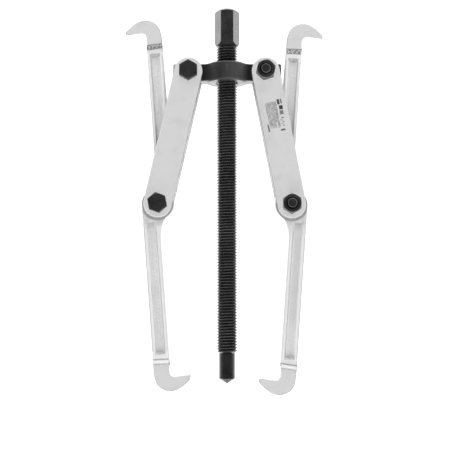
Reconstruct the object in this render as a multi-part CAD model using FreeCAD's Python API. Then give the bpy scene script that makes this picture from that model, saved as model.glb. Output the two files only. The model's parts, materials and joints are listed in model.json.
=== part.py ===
import FreeCAD, Part
import math
import os

from FreeCAD import Vector, Rotation, Placement

# Two-jaw gear puller, millimetres, +Z up.
# Origin: the forcing screw's pressing point, on the screw's axis. +X to the right link, -Y to
# the front. The heights below are measured from mid-height of the yoke, and save() moves every
# piece up by LIFT. Each solid is one loose piece of the tool as it comes apart on a bench.

Y_AXIS = Vector(0, 1, 0)
Z_AXIS = Vector(0, 0, 1)
TOL = 0.01  # for picking edges by place or size
OVER = 1.0  # how far most cutters run past the face they open

# ---- forcing screw, M18 x 2.5 right-hand, with a hex drive. The thread is a stack of rings.
SCREW_CREST_R = 9.0
SCREW_PITCH = 2.5
SCREW_DEPTH = 1.534
SCREW_ROOT_FLAT = 0.40
THREAD_FLANK_ANGLE = 30.0
THREAD_END_Z = -246.0
THREAD_END_CHAMFER = 1.4  # height of the chamfer at the lower end
THREAD_START = 1.75  # from the lower end to the first groove
THREAD_RUNOUT = 0.8  # least plain length between the last groove and the hex
HEX_AF = 19.0
HEX_TOP_Z = 58.35
HEX_TOP_R = 6.6  # flat circle left by the top chamfer
HEX_TOP_ANGLE = 33.0
HEX_LOW_Z = 24.7  # where the lower chamfer cone meets the thread's crest
HEX_LOW_SLOPE = 1.50  # rise per millimetre of radius of the lower chamfer cone
HEX_BLANK_MARGIN = 0.6  # turned blank's radius beyond the hexagon's corners

# ---- socket in the screw's lower end, thrust ball, pressure tip and retaining ring
BALL_R = 3.50
BALL_GAP = 0.05  # above and below the ball
SOCKET_R = 4.05
SOCKET_TOP_Z = -228.50
BALL_Z = SOCKET_TOP_Z - BALL_GAP - BALL_R
SHANK_R = SOCKET_R - 0.05
SHANK_TOP_Z = BALL_Z - BALL_R - BALL_GAP
SHANK_CHAMFER = 0.4
TIP_R = 6.75
TIP_TOP_Z = THREAD_END_Z - 0.30
TIP_TOP_CHAMFER = 0.6
TIP_CONE_Z = -268.45
TIP_CONE_EDGE = (0.15, 0.25)  # bevel above the cone: radial width, height
TIP_POINT_Z = -272.33  # the blunted point
TIP_POINT_R = 0.25
LIFT = -TIP_POINT_Z  # from the yoke's mid-height to the pressing point

RING_Z = -238.70  # mid-height of the ring and both its grooves
RING_H = 1.0
RING_INNER_R = 3.42
RING_OUTER_R = 4.60
RING_GAP = 1.6
SOCKET_GROOVE_H = 1.3
SOCKET_GROOVE_R = 4.75
SHANK_GROOVE_H = 1.2
SHANK_GROOVE_R = 3.35

# ---- pivot bolts, M10 x 35, and their nuts
BOLT_R = 5.0
BOLT_AF = 15.6
BOLT_HEAD_H = 6.4
BOLT_HEAD_FACE_R = 7.5  # flat circle left by the chamfer
BOLT_LENGTH = 35.0
BOLT_END_CHAMFER = (0.9, 1.0)  # radial width, height
BOLT_OVERLAP = 0.5  # shank's reach into the head
NUT_H = 8.4
NUT_FACE_R = 7.6
NUT_BORE_R = BOLT_R + 0.02
NUT_CHAMFER_DEPTH = 0.45
NUT_CHAMFER_FLARE = 1.55  # widening of the bore's chamfer cone at OVER past the face
FASTENER_CHAMFER_ANGLE = 28.0
PIVOT_BORE_R = BOLT_R + 0.06  # in the yoke and in the jaws

# ---- yoke (cross bar)
YOKE_HALF_LENGTH = 48.0
YOKE_HALF_THICK = 7.4
YOKE_HALF_HEIGHT = 7.6
YOKE_CORNER_R = 1.6
YOKE_RIM_R = 1.1
YOKE_PIVOT_X = 34.0
HUB_R = 18.0
HUB_LOW_Z = -8.5
HUB_HIGH_Z = 8.3
HUB_FILLET_R = 11.0  # in plan, between the hub and the arms
HUB_RIM_R = 1.3
YOKE_BORE_R = SCREW_CREST_R + 0.06
YOKE_BORE_CHAMFER = 1.2

# ---- link plates
LINK_LENGTH = 120.0  # between hole centres
LINK_HALF_WIDTH = 12.5
LINK_THICK = 5.0
LINK_INNER_Y = YOKE_HALF_THICK + 0.2
LINK_FACE_Y = LINK_INNER_Y + LINK_THICK
LINK_HOLE_R = BOLT_R + 0.10
LINK_RIM_R = 0.7

# ---- jaws: S-shaped forging with a long and a short end. The two jaws hang opposite ways up.
# In an arm, q points outward from the screw and a runs down from the pivot.
BOSS_R = 14.2
BOSS_HALF_THICK = YOKE_HALF_THICK
BOSS_RIM_R = 0.6
ARM_WIDTH = BOSS_R
ARM_HALF_THICK = 6.7
ARM_RIM_R = 0.9
RIM_START_A = 12.0  # rims are rounded only below this, clear of the boss
ARM_END_A = 137.2
HOOK_START_A = ARM_END_A + 3.0  # a sloped step joins the arm to the thinner hook
HOOK_HALF_THICK = 5.8
HOOK_ROOT_A = 139.0
HOOK_OFFSET = 1.2  # the long end's hook is this much further out, the short end's nearer
STEP_OFFSET = 1.8  # the same for the step and the channel's end

# (q, a) stations before the hook offset
HOOK_BACK = (
    (13.95, 147.0), (12.3, 156.0), (6.9, 161.7),
    (-1.0, 163.5), (-9.8, 160.3), (-15.9, 155.3),
)
HOOK_BACK_TANGENTS = ((-0.15, 9.0), (-5.6, -5.0))
HOOK_LIP = ((-15.9, 155.3), (-18.0, 152.4), (-15.9, 150.45))
HOOK_THROAT = ((-4.3, 151.2), (-0.95, 150.05), (0.45, 146.6))
# (q, a) stations where the arm's inner edge spreads into the boss
NECK = ((-0.1, 30.0), (-2.3, 18.9), (-4.8, 14.4), (-8.6, 11.0))
NECK_TANGENTS = ((-0.1, -8.0), (-4.0, -2.6))
NECK_IN_BOSS = (-3.0, 4.0)  # corner of the blank buried in the boss

# channel on each face of the arm: q range, a range, corner radius, height from mid-plane
CHANNEL_TOP = (2.21, 11.94, 16.35, 132.3, 2.8, ARM_HALF_THICK + 0.8)
CHANNEL_FLOOR = (4.4, 10.6, 20.0, 129.3, 1.8, 3.0)

# side, sign of x, link angle (lower end outward), jaw tilt (lower end inward), front and rear
# fastener, turns of the yoke and jaw fasteners, further turn of the rear one; all in degrees
SIDES = (
    ("left", -1, 12.7, 4.5, ("bolt", "nut"), (0.0, -10.0), 17),
    ("right", 1, 10.7, 4.2, ("nut", "bolt"), (12.0, 0.0), 23),
)


# ------------------------------------------------------------------ helpers
def tan_degrees(angle):
    return math.tan(math.radians(angle))


def polygon_face(points):
    """A face inside the polygon, which is closed here."""
    return Part.Face(Part.makePolygon(points + [points[0]]))


def hex_corner_radius(across_flats):
    return across_flats / math.sqrt(3)


def hex_prism(across_flats, height):
    """A hexagonal prism on +Z with two of its flats facing -Y and +Y."""
    radius = hex_corner_radius(across_flats)
    angles = [math.radians(60 * i) for i in range(6)]
    corners = [Vector(radius * math.cos(a), radius * math.sin(a), 0) for a in angles]
    return polygon_face(corners).extrude(Vector(0, 0, height))


def revolve(outline):
    """Solid of revolution about Z from a (radius, z) outline, which is closed here."""
    face = polygon_face([Vector(radius, 0, z) for radius, z in outline])
    return face.revolve(Vector(0, 0, 0), Z_AXIS, 360)


def disc(radius, low_z, height):
    return Part.makeCylinder(radius, height, Vector(0, 0, low_z))


def pivot_bore(x):
    return Part.makeCylinder(PIVOT_BORE_R, 40, Vector(x, -20, 0), Y_AXIS)


def arc(start, through, end):
    return Part.Arc(start, through, end).toShape()


def edges_across_z(shape):
    return [e for e in shape.Edges if e.BoundBox.ZLength < TOL]


def edges_across_y(shape):
    return [e for e in shape.Edges if e.BoundBox.YLength < TOL]


def turned(shape, axis, degrees, base=Vector(0, 0, 0)):
    """The shape turned about an axis through the origin, then moved by base."""
    return shape.transformed(Placement(base, Rotation(axis, degrees)).toMatrix())


def half_turned(shape):
    """The shape turned front to rear about Z."""
    return turned(shape, Z_AXIS, 180)


def one(shape):
    """The single solid that a boolean leaves, with coplanar splits merged."""
    solids = shape.removeSplitter().Solids
    if len(solids) != 1:
        raise ValueError("expected one solid, got %d" % len(solids))
    return solids[0]


def save(name, shape):
    if not shape.isValid():
        raise ValueError(name + " is not valid")
    shape.translated(Vector(0, 0, LIFT)).exportStep("parts/" + name + ".step")


# ------------------------------------------------------------------ forcing screw and tip
def screw_outline():
    """(radius, z) up the outside: lower end chamfer, one groove per pitch, hex blank."""
    crest, root = SCREW_CREST_R, SCREW_CREST_R - SCREW_DEPTH
    flank = SCREW_DEPTH * tan_degrees(THREAD_FLANK_ANGLE)
    groove_height = 2 * flank + SCREW_ROOT_FLAT
    outline = [
        (0, THREAD_END_Z),
        (root + 0.2, THREAD_END_Z),
        (crest, THREAD_END_Z + THREAD_END_CHAMFER),
    ]
    z = THREAD_END_Z + THREAD_START
    while z + groove_height + THREAD_RUNOUT < HEX_LOW_Z:
        outline += [
            (crest, z),
            (root, z + flank),
            (root, z + flank + SCREW_ROOT_FLAT),
            (crest, z + groove_height),
        ]
        z += SCREW_PITCH
    blank_r = hex_corner_radius(HEX_AF) + HEX_BLANK_MARGIN
    outline += [
        (crest, HEX_LOW_Z),
        (blank_r, HEX_LOW_Z + HEX_LOW_SLOPE * (blank_r - crest)),
        (blank_r, HEX_TOP_Z - (blank_r - HEX_TOP_R) * tan_degrees(HEX_TOP_ANGLE)),
        (HEX_TOP_R, HEX_TOP_Z),
        (0, HEX_TOP_Z),
    ]
    return outline


def forcing_screw():
    body = revolve(screw_outline())
    # above the thread, everything outside the hexagon goes
    hex_height = HEX_TOP_Z - HEX_LOW_Z
    tube = disc(20, HEX_LOW_Z, hex_height + 2)
    prism = hex_prism(HEX_AF, hex_height + 4)
    prism.translate(Vector(0, 0, HEX_LOW_Z - 1))
    body = body.cut(tube.cut(prism))
    socket = disc(SOCKET_R, THREAD_END_Z - OVER, SOCKET_TOP_Z - THREAD_END_Z + OVER)
    groove = disc(SOCKET_GROOVE_R, RING_Z - SOCKET_GROOVE_H / 2, SOCKET_GROOVE_H)
    return one(body.cut(socket.fuse(groove)))


def pressure_tip():
    groove_low = RING_Z - SHANK_GROOVE_H / 2
    groove_high = RING_Z + SHANK_GROOVE_H / 2
    bevel_width, bevel_height = TIP_CONE_EDGE
    return one(revolve([
        (0, TIP_POINT_Z),
        (TIP_POINT_R, TIP_POINT_Z),
        (TIP_R - bevel_width, TIP_CONE_Z),
        (TIP_R, TIP_CONE_Z + bevel_height),
        (TIP_R, TIP_TOP_Z - TIP_TOP_CHAMFER),
        (TIP_R - TIP_TOP_CHAMFER, TIP_TOP_Z),
        (SHANK_R, TIP_TOP_Z),
        (SHANK_R, groove_low),
        (SHANK_GROOVE_R, groove_low),
        (SHANK_GROOVE_R, groove_high),
        (SHANK_R, groove_high),
        (SHANK_R, SHANK_TOP_Z - SHANK_CHAMFER),
        (SHANK_R - SHANK_CHAMFER, SHANK_TOP_Z),
        (0, SHANK_TOP_Z),
    ]))


def tip_retaining_ring():
    low = RING_Z - RING_H / 2
    ring = disc(RING_OUTER_R, low, RING_H).cut(disc(RING_INNER_R, low, RING_H))
    # the gap, on +X, lets the ring spring into its groove
    gap_base = Vector(0, -RING_GAP / 2, low - OVER)
    gap = Part.makeBox(6, RING_GAP, RING_H + 2 * OVER, gap_base)
    return one(ring.cut(gap))


def thrust_ball():
    return Part.makeSphere(BALL_R, Vector(0, 0, BALL_Z))


# ------------------------------------------------------------------ yoke
def half_yoke_outline(sign):
    """Half of the plan: the +X end and the +Y side for sign = 1, the half turn of it for -1."""
    def at(x, y):
        return Vector(sign * x, sign * y, 0)

    def fillet(start, end, centre):
        direction = (start + end) * 0.5 - centre
        direction.normalize()
        return arc(start, centre + direction * HUB_FILLET_R, end)

    length, thick = YOKE_HALF_LENGTH, YOKE_HALF_THICK
    centre_y = thick + HUB_FILLET_R
    centre_x = math.sqrt((HUB_R + HUB_FILLET_R) ** 2 - centre_y ** 2)
    # where the fillet meets the hub
    hub_share = HUB_R / (HUB_R + HUB_FILLET_R)
    hub_x, hub_y = centre_x * hub_share, centre_y * hub_share
    return [
        Part.makeLine(at(length, -thick), at(length, thick)),
        Part.makeLine(at(length, thick), at(centre_x, thick)),
        fillet(at(centre_x, thick), at(hub_x, hub_y), at(centre_x, centre_y)),
        arc(at(hub_x, hub_y), at(0, HUB_R), at(-hub_x, hub_y)),
        fillet(at(-hub_x, hub_y), at(-centre_x, thick), at(-centre_x, centre_y)),
        Part.makeLine(at(-centre_x, thick), at(-length, thick)),
    ]


def yoke_bar():
    plan = Part.Face(Part.Wire(half_yoke_outline(1) + half_yoke_outline(-1)))
    bar = plan.extrude(Vector(0, 0, 2 * YOKE_HALF_HEIGHT))
    bar.translate(Vector(0, 0, -YOKE_HALF_HEIGHT))
    # upright corners at the ends of the arms
    corners = [
        e
        for e in bar.Edges
        if abs(abs(e.CenterOfMass.x) - YOKE_HALF_LENGTH) < TOL
        and abs(abs(e.CenterOfMass.y) - YOKE_HALF_THICK) < TOL
        and abs(e.CenterOfMass.z) < TOL
    ]
    bar = bar.makeFillet(YOKE_CORNER_R, corners)
    rims = [
        e
        for e in edges_across_z(bar)
        if abs(abs(e.CenterOfMass.z) - YOKE_HALF_HEIGHT) < TOL
    ]
    return bar.makeFillet(YOKE_RIM_R, rims)


def yoke():
    hub = disc(HUB_R, HUB_LOW_Z, HUB_HIGH_Z - HUB_LOW_Z)
    hub = hub.makeFillet(HUB_RIM_R, edges_across_z(hub))
    body = yoke_bar().fuse(hub)
    chamfer = YOKE_BORE_CHAMFER
    bore = revolve([
        (0, HUB_LOW_Z - OVER),
        (YOKE_BORE_R + chamfer + OVER, HUB_LOW_Z - OVER),
        (YOKE_BORE_R + chamfer, HUB_LOW_Z),
        (YOKE_BORE_R, HUB_LOW_Z + chamfer),
        (YOKE_BORE_R, HUB_HIGH_Z - chamfer),
        (YOKE_BORE_R + chamfer, HUB_HIGH_Z),
        (YOKE_BORE_R + chamfer + OVER, HUB_HIGH_Z + OVER),
        (0, HUB_HIGH_Z + OVER),
    ])
    body = body.cut(bore)
    for x in (-YOKE_PIVOT_X, YOKE_PIVOT_X):
        body = body.cut(pivot_bore(x))
    return one(body)


# ------------------------------------------------------------------ link plates
def link_plate():
    """A plate hanging down from its upper hole at the origin, from y = 0 to LINK_THICK."""
    def at(x, z):
        return Vector(x, 0, z)

    half, low_z = LINK_HALF_WIDTH, -LINK_LENGTH
    edges = [
        Part.makeLine(at(-half, low_z), at(-half, 0)),
        arc(at(-half, 0), at(0, half), at(half, 0)),
        Part.makeLine(at(half, 0), at(half, low_z)),
        arc(at(half, low_z), at(0, low_z - half), at(-half, low_z)),
    ]
    plate = Part.Face(Part.Wire(edges)).extrude(Vector(0, LINK_THICK, 0))
    plate = plate.makeFillet(LINK_RIM_R, edges_across_y(plate))
    for z in (0, low_z):
        base = Vector(0, -OVER, z)
        plate = plate.cut(Part.makeCylinder(LINK_HOLE_R, LINK_THICK + 2 * OVER, base, Y_AXIS))
    return one(plate)


# ------------------------------------------------------------------ bolts and nuts
def chamfered_hex(height, face_r):
    """A bolt-size hexagon on +Z, its top corners chamfered down from a circle of face_r."""
    rim = hex_corner_radius(BOLT_AF) + 1
    drop = (rim - face_r) * tan_degrees(FASTENER_CHAMFER_ANGLE)
    cone = revolve([(0, 0), (rim, 0), (rim, height - drop), (face_r, height), (0, height)])
    return hex_prism(BOLT_AF, height).common(cone)


def laid_along_y(shape):
    """+Z turns to -Y, and the hexagon's corner on +X turns to +Z."""
    return turned(turned(shape, Y_AXIS, -90), Z_AXIS, 90)


def bolt():
    """The head's bearing face is at y = 0, with the head towards -Y."""
    chamfer_width, chamfer_height = BOLT_END_CHAMFER
    shank = revolve([
        (0, BOLT_OVERLAP),
        (BOLT_R, BOLT_OVERLAP),
        (BOLT_R, -BOLT_LENGTH + chamfer_height),
        (BOLT_R - chamfer_width, -BOLT_LENGTH),
        (0, -BOLT_LENGTH),
    ])
    head = chamfered_hex(BOLT_HEAD_H, BOLT_HEAD_FACE_R)
    return laid_along_y(one(head.fuse(shank)))


def nut():
    """The bearing face is at y = 0, with the nut towards -Y."""
    hole = revolve([
        (0, -OVER),
        (NUT_BORE_R + NUT_CHAMFER_FLARE, -OVER),
        (NUT_BORE_R, NUT_CHAMFER_DEPTH),
        (NUT_BORE_R, NUT_H - NUT_CHAMFER_DEPTH),
        (NUT_BORE_R + NUT_CHAMFER_FLARE, NUT_H + OVER),
        (0, NUT_H + OVER),
    ])
    return laid_along_y(one(chamfered_hex(NUT_H, NUT_FACE_R).cut(hole)))


# ------------------------------------------------------------------ jaws
def arm_point(q, a, y=0.0):
    """A point of a hanging arm: q is outward (-X here) and a is down (-Z)."""
    return Vector(-q, y, -a)


def arm_spline(points, tangents):
    curve = Part.BSplineCurve()
    start, end = [arm_point(q, a) for q, a in tangents]
    curve.interpolate(points, InitialTangent=start, FinalTangent=end)
    return curve.toShape()


def arm_blank(hook):
    """The arm and hook at full thickness, with the hook moved down by hook."""
    back, lip, throat = [
        [arm_point(q, a + hook) for q, a in table]
        for table in (HOOK_BACK, HOOK_LIP, HOOK_THROAT)
    ]
    neck = [arm_point(q, a) for q, a in NECK]
    outer_top = arm_point(ARM_WIDTH, 0)
    outer_root = arm_point(ARM_WIDTH, HOOK_ROOT_A + hook)
    inner_root = arm_point(0, HOOK_ROOT_A + hook)
    in_boss = arm_point(*NECK_IN_BOSS)
    edges = [
        Part.makeLine(outer_top, outer_root),
        Part.makeLine(outer_root, back[0]),
        arm_spline(back, HOOK_BACK_TANGENTS),
        arc(*lip),
        Part.makeLine(lip[-1], throat[0]),
        arc(*throat),
        Part.makeLine(throat[-1], inner_root),
        Part.makeLine(inner_root, neck[0]),
        arm_spline(neck, NECK_TANGENTS),
        Part.makeLine(neck[-1], in_boss),
        Part.makeLine(in_boss, outer_top),
    ]
    blank = Part.Face(Part.Wire(edges)).extrude(Vector(0, 2 * ARM_HALF_THICK, 0))
    blank.translate(Vector(0, -ARM_HALF_THICK, 0))
    return blank


def hook_thinning(side, step):
    """Cutter that thins the hook on the side's face (-1 or 1), with a sloped step."""
    profile = (  # distance from mid-plane, a
        (ARM_HALF_THICK, ARM_END_A + step),
        (HOOK_HALF_THICK, HOOK_START_A + step),
        (HOOK_HALF_THICK, 200),
        (12, 200),
        (12, ARM_END_A + step),
    )
    face = polygon_face([Vector(-40, side * y, -a) for y, a in profile])
    return face.extrude(Vector(80, 0, 0))


def channel_wire(section, side, step):
    """Rounded rectangle of a channel section, its lower end moved down by step."""
    q0, q1, a0, a1, radius, height = section
    a1 += step
    y = side * height
    inset = radius * (1 - math.sqrt(0.5))  # of an arc's middle from the square corner
    ends = [
        arm_point(q0 + radius, a0, y), arm_point(q1 - radius, a0, y),
        arm_point(q1, a0 + radius, y), arm_point(q1, a1 - radius, y),
        arm_point(q1 - radius, a1, y), arm_point(q0 + radius, a1, y),
        arm_point(q0, a1 - radius, y), arm_point(q0, a0 + radius, y),
    ]
    middles = [
        arm_point(q1 - inset, a0 + inset, y), arm_point(q1 - inset, a1 - inset, y),
        arm_point(q0 + inset, a1 - inset, y), arm_point(q0 + inset, a0 + inset, y),
    ]
    edges = []
    for i, middle in enumerate(middles):
        start, end, following = ends[2 * i], ends[2 * i + 1], ends[(2 * i + 2) % 8]
        edges.append(Part.makeLine(start, end))
        edges.append(arc(end, middle, following))
    return Part.Wire(edges)


def jaw_arm(end):
    """An arm hanging from its pivot at the origin: the long end for 1, the short for -1."""
    step = end * STEP_OFFSET
    arm = arm_blank(end * HOOK_OFFSET)
    for side in (-1, 1):
        arm = arm.cut(hook_thinning(side, step))
    arm = arm.Solids[0]
    # rounded rims along the outline, but not the straight edges across the arm at the step
    rims = [
        e
        for e in arm.Edges
        if -e.CenterOfMass.z > RIM_START_A
        and abs(e.CenterOfMass.y) > HOOK_HALF_THICK - TOL
        and e.BoundBox.YLength < ARM_HALF_THICK
        and not (e.BoundBox.ZLength < TOL and e.BoundBox.YLength < TOL)
    ]
    arm = arm.makeFillet(ARM_RIM_R, rims)
    # the sloped channels make the arm an I-section
    for side in (-1, 1):
        wires = [channel_wire(section, side, step) for section in (CHANNEL_TOP, CHANNEL_FLOOR)]
        arm = arm.cut(Part.makeLoft(wires, True, True))
    return arm


def jaw(low_end):
    """A whole jaw, with its long end down for low_end = 1 and its short end for -1."""
    lower = jaw_arm(low_end)
    upper = turned(jaw_arm(-low_end), Y_AXIS, 180)
    base = Vector(0, -BOSS_HALF_THICK, 0)
    boss = Part.makeCylinder(BOSS_R, 2 * BOSS_HALF_THICK, base, Y_AXIS)
    boss = boss.makeFillet(BOSS_RIM_R, edges_across_y(boss))
    return one(boss.fuse([lower, upper]).cut(pivot_bore(0)))


# ------------------------------------------------------------------ assembly
def save_side(side, sign, link_angle, jaw_tilt, fasteners, turns, rear_turn):
    """The links, fasteners and jaw of one side; the arguments are a row of SIDES."""
    to_front, to_rear = Vector(0, -LINK_FACE_Y, 0), Vector(0, LINK_FACE_Y, 0)
    yoke_pivot = Vector(sign * YOKE_PIVOT_X, 0, 0)
    angle = math.radians(link_angle)
    link = Vector(sign * LINK_LENGTH * math.sin(angle), 0, -LINK_LENGTH * math.cos(angle))
    jaw_pivot = yoke_pivot + link

    for place, offset in (("front", to_front), ("rear", Vector(0, LINK_INNER_Y, 0))):
        plate = turned(link_plate(), Y_AXIS, -sign * link_angle, yoke_pivot + offset)
        save(side + "_link_plate_" + place, plate)

    makers = {"bolt": bolt, "nut": nut}
    front, rear = fasteners
    for place, pivot, turn in zip(("yoke", "jaw"), (yoke_pivot, jaw_pivot), turns):
        piece = turned(makers[front](), Y_AXIS, turn, pivot + to_front)
        save("%s_%s_%s" % (side, place, front), piece)
        piece = half_turned(makers[rear]())
        piece = turned(piece, Y_AXIS, turn + rear_turn, pivot + to_rear)
        save("%s_%s_%s" % (side, place, rear), piece)

    # the left jaw has its short end down, the right its long end
    body = jaw(sign)
    if sign > 0:
        body = half_turned(body)
    save(side + "_jaw", turned(body, Y_AXIS, sign * jaw_tilt, jaw_pivot))


def main():
    os.makedirs("parts", exist_ok=True)
    save("forcing_screw", forcing_screw())
    save("pressure_tip", pressure_tip())
    save("tip_retaining_ring", tip_retaining_ring())
    save("thrust_ball", thrust_ball())
    save("yoke", yoke())
    for row in SIDES:
        save_side(*row)


main()
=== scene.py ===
import json
import math

import bpy
import numpy as np
from mathutils import Matrix, Vector
from mathutils.geometry import delaunay_2d_cdt


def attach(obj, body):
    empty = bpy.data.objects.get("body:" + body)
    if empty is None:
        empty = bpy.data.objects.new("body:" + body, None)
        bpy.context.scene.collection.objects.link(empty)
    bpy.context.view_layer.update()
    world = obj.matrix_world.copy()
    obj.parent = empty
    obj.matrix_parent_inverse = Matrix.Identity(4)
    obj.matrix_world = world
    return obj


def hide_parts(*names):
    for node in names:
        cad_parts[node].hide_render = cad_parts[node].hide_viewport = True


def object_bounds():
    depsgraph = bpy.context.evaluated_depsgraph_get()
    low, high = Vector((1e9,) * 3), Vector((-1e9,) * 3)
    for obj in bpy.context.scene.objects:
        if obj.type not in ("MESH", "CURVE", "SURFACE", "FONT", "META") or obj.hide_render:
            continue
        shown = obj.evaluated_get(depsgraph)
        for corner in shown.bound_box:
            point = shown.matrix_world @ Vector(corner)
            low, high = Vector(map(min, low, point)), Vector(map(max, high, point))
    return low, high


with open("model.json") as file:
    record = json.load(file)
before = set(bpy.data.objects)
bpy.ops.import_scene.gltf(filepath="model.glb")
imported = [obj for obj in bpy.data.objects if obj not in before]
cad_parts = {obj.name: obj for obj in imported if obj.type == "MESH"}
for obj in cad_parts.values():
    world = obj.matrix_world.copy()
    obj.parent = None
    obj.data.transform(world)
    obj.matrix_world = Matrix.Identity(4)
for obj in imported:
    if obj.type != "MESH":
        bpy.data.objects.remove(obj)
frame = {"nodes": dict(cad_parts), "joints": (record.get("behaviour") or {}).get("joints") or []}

cad_box = [list(c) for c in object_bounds()]
MM = 0.001

# ------------------------------------------------------------------ where the frame puts things
joints = {j["name"]: j for j in frame["joints"]}
YOKE_Z = joints["left_link_swing"]["pos_m"][2] / MM      # mid-height of the yoke
PIVOT = {
    "left": np.array(joints["left_jaw_swing"]["pos_m"]) / MM,
    "right": np.array(joints["right_jaw_swing"]["pos_m"]) / MM,
}
TOP = {
    "left": np.array(joints["left_link_swing"]["pos_m"]) / MM,
    "right": np.array(joints["right_link_swing"]["pos_m"]) / MM,
}
SIGN = {"left": -1.0, "right": 1.0}
JAW_TILT = {"left": 4.5, "right": 4.2}
LINK_ANGLE = {
    s: math.degrees(math.atan2(abs(PIVOT[s][0] - TOP[s][0]), TOP[s][2] - PIVOT[s][2]))
    for s in ("left", "right")
}


# ------------------------------------------------------------------ mesh building
class Body:
    """Collects vertices, faces and two attributes: the piece's own coordinates in mm, and how far a point is onto a side wall."""

    def __init__(self):
        self.v, self.loc, self.side, self.f, self.n = [], [], [], [], 0

    def add(self, pts, side=0.0):
        pts = np.asarray(pts, float).reshape(-1, 3)
        self.v.append(pts)
        self.side.append(np.broadcast_to(np.asarray(side, float), (len(pts),)).copy())
        base = self.n
        self.n += len(pts)
        return np.arange(base, base + len(pts))

    def strip(self, a, b, flip=False):
        """Quads between two closed rings with as many points each."""
        a2, b2 = np.roll(a, -1), np.roll(b, -1)
        for i in range(len(a)):
            q = (int(a[i]), int(a2[i]), int(b2[i]), int(b[i]))
            self.f.append(q[::-1] if flip else q)

    def fan(self, ring, centre, flip=False):
        r2 = np.roll(ring, -1)
        for i in range(len(ring)):
            t = (int(ring[i]), int(r2[i]), int(centre))
            self.f.append(t[::-1] if flip else t)

    def tris(self, faces):
        self.f.extend([tuple(int(i) for i in t) for t in faces])

    def build(self, name, matrix=None, sharp=38.0, weld=None):
        v = np.vstack(self.v)
        side = np.concatenate(self.side)
        f = self.f
        if weld:
            key = np.round(v / weld).astype(np.int64)
            _, first, back = np.unique(key, axis=0, return_index=True, return_inverse=True)
            back = back.ravel()
            v, side = v[first], side[first]
            out = []
            for t in f:
                t = [int(back[i]) for i in t]
                t = [a for k, a in enumerate(t) if a != t[k - 1]]
                if len(set(t)) >= 3 and len(set(t)) == len(t):
                    out.append(tuple(t))
            f = out
        loc = v.copy()
        if matrix is not None:
            m = np.array(matrix, float)
            v = v @ m[:3, :3].T + m[:3, 3]
        me = bpy.data.meshes.new(name)
        me.from_pydata((v * MM).tolist(), [], f)
        me.polygons.foreach_set("use_smooth", [True] * len(me.polygons))
        at = me.attributes.new("loc", "FLOAT_VECTOR", "POINT")
        at.data.foreach_set("vector", (loc * MM).astype(np.float32).ravel())
        at = me.attributes.new("side", "FLOAT", "POINT")
        at.data.foreach_set("value", side.astype(np.float32))
        me.update()
        me.validate()
        me.set_sharp_from_angle(angle=math.radians(sharp))
        ob = bpy.data.objects.new(name, me)
        bpy.context.scene.collection.objects.link(ob)
        return ob


def turned(p, c):
    """Arc of a circle through three points: start, middle, end, sampled every degree or so."""
    (x1, y1), (x2, y2), (x3, y3) = p
    d = 2 * (x1 * (y2 - y3) + x2 * (y3 - y1) + x3 * (y1 - y2))
    a1, a2, a3 = x1 * x1 + y1 * y1, x2 * x2 + y2 * y2, x3 * x3 + y3 * y3
    cx = (a1 * (y2 - y3) + a2 * (y3 - y1) + a3 * (y1 - y2)) / d
    cy = (a1 * (x3 - x2) + a2 * (x1 - x3) + a3 * (x2 - x1)) / d
    r = math.hypot(x1 - cx, y1 - cy)
    t = [math.atan2(y - cy, x - cx) for x, y in p]

    def unwrap(a, b, up):
        while up and b < a:
            b += 2 * math.pi
        while not up and b > a:
            b -= 2 * math.pi
        return b

    up = (unwrap(t[0], t[1], True) - t[0]) < (unwrap(t[0], t[2], True) - t[0])
    end = unwrap(t[0], t[2], up)
    n = max(3, int(abs(end - t[0]) * r / c) + 1)
    return [(cx + r * math.cos(a), cy + r * math.sin(a)) for a in np.linspace(t[0], end, n)]


def spline(points, first, last, step):
    """Cubic through the points with stated end directions (C2, chord-length parameters)."""
    p = np.array(points, float)
    t = np.concatenate([[0], np.cumsum(np.linalg.norm(np.diff(p, axis=0), axis=1))])
    n = len(p)
    A, B = np.zeros((n, n)), np.zeros((n, 2))
    f, l = np.array(first, float), np.array(last, float)
    A[0, 0] = A[-1, -1] = 1
    B[0], B[-1] = f / np.linalg.norm(f), l / np.linalg.norm(l)
    for i in range(1, n - 1):
        h0, h1 = t[i] - t[i - 1], t[i + 1] - t[i]
        A[i, i - 1], A[i, i], A[i, i + 1] = h1, 2 * (h0 + h1), h0
        B[i] = 3 * (h1 / h0 * (p[i] - p[i - 1]) + h0 / h1 * (p[i + 1] - p[i]))
    m = np.linalg.solve(A, B)
    out = []
    for i in range(n - 1):
        h = t[i + 1] - t[i]
        k = max(2, int(h / step) + 1)
        for u in np.linspace(0, 1, k, endpoint=i == n - 2):
            out.append(
                tuple(
                    (2 * u**3 - 3 * u**2 + 1) * p[i]
                    + (u**3 - 2 * u**2 + u) * h * m[i]
                    + (3 * u**2 - 2 * u**3) * p[i + 1]
                    + (u**3 - u**2) * h * m[i + 1]
                )
            )
    return out


def line(a, b, step):
    n = max(2, int(math.hypot(b[0] - a[0], b[1] - a[1]) / step) + 1)
    return [tuple(np.array(a) + (np.array(b) - np.array(a)) * u) for u in np.linspace(0, 1, n)]


def closed(parts):
    """One closed ring of points, counter-clockwise, from pieces laid end to end."""
    pts = []
    for part in parts:
        for p in part:
            if not pts or math.hypot(p[0] - pts[-1][0], p[1] - pts[-1][1]) > 1e-4:
                pts.append(p)
    if math.hypot(pts[0][0] - pts[-1][0], pts[0][1] - pts[-1][1]) < 1e-4:
        pts.pop()
    p = np.array(pts)
    area = 0.5 * np.sum(p[:, 0] * np.roll(p[:, 1], -1) - np.roll(p[:, 0], -1) * p[:, 1])
    return p if area > 0 else p[::-1].copy()


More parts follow.
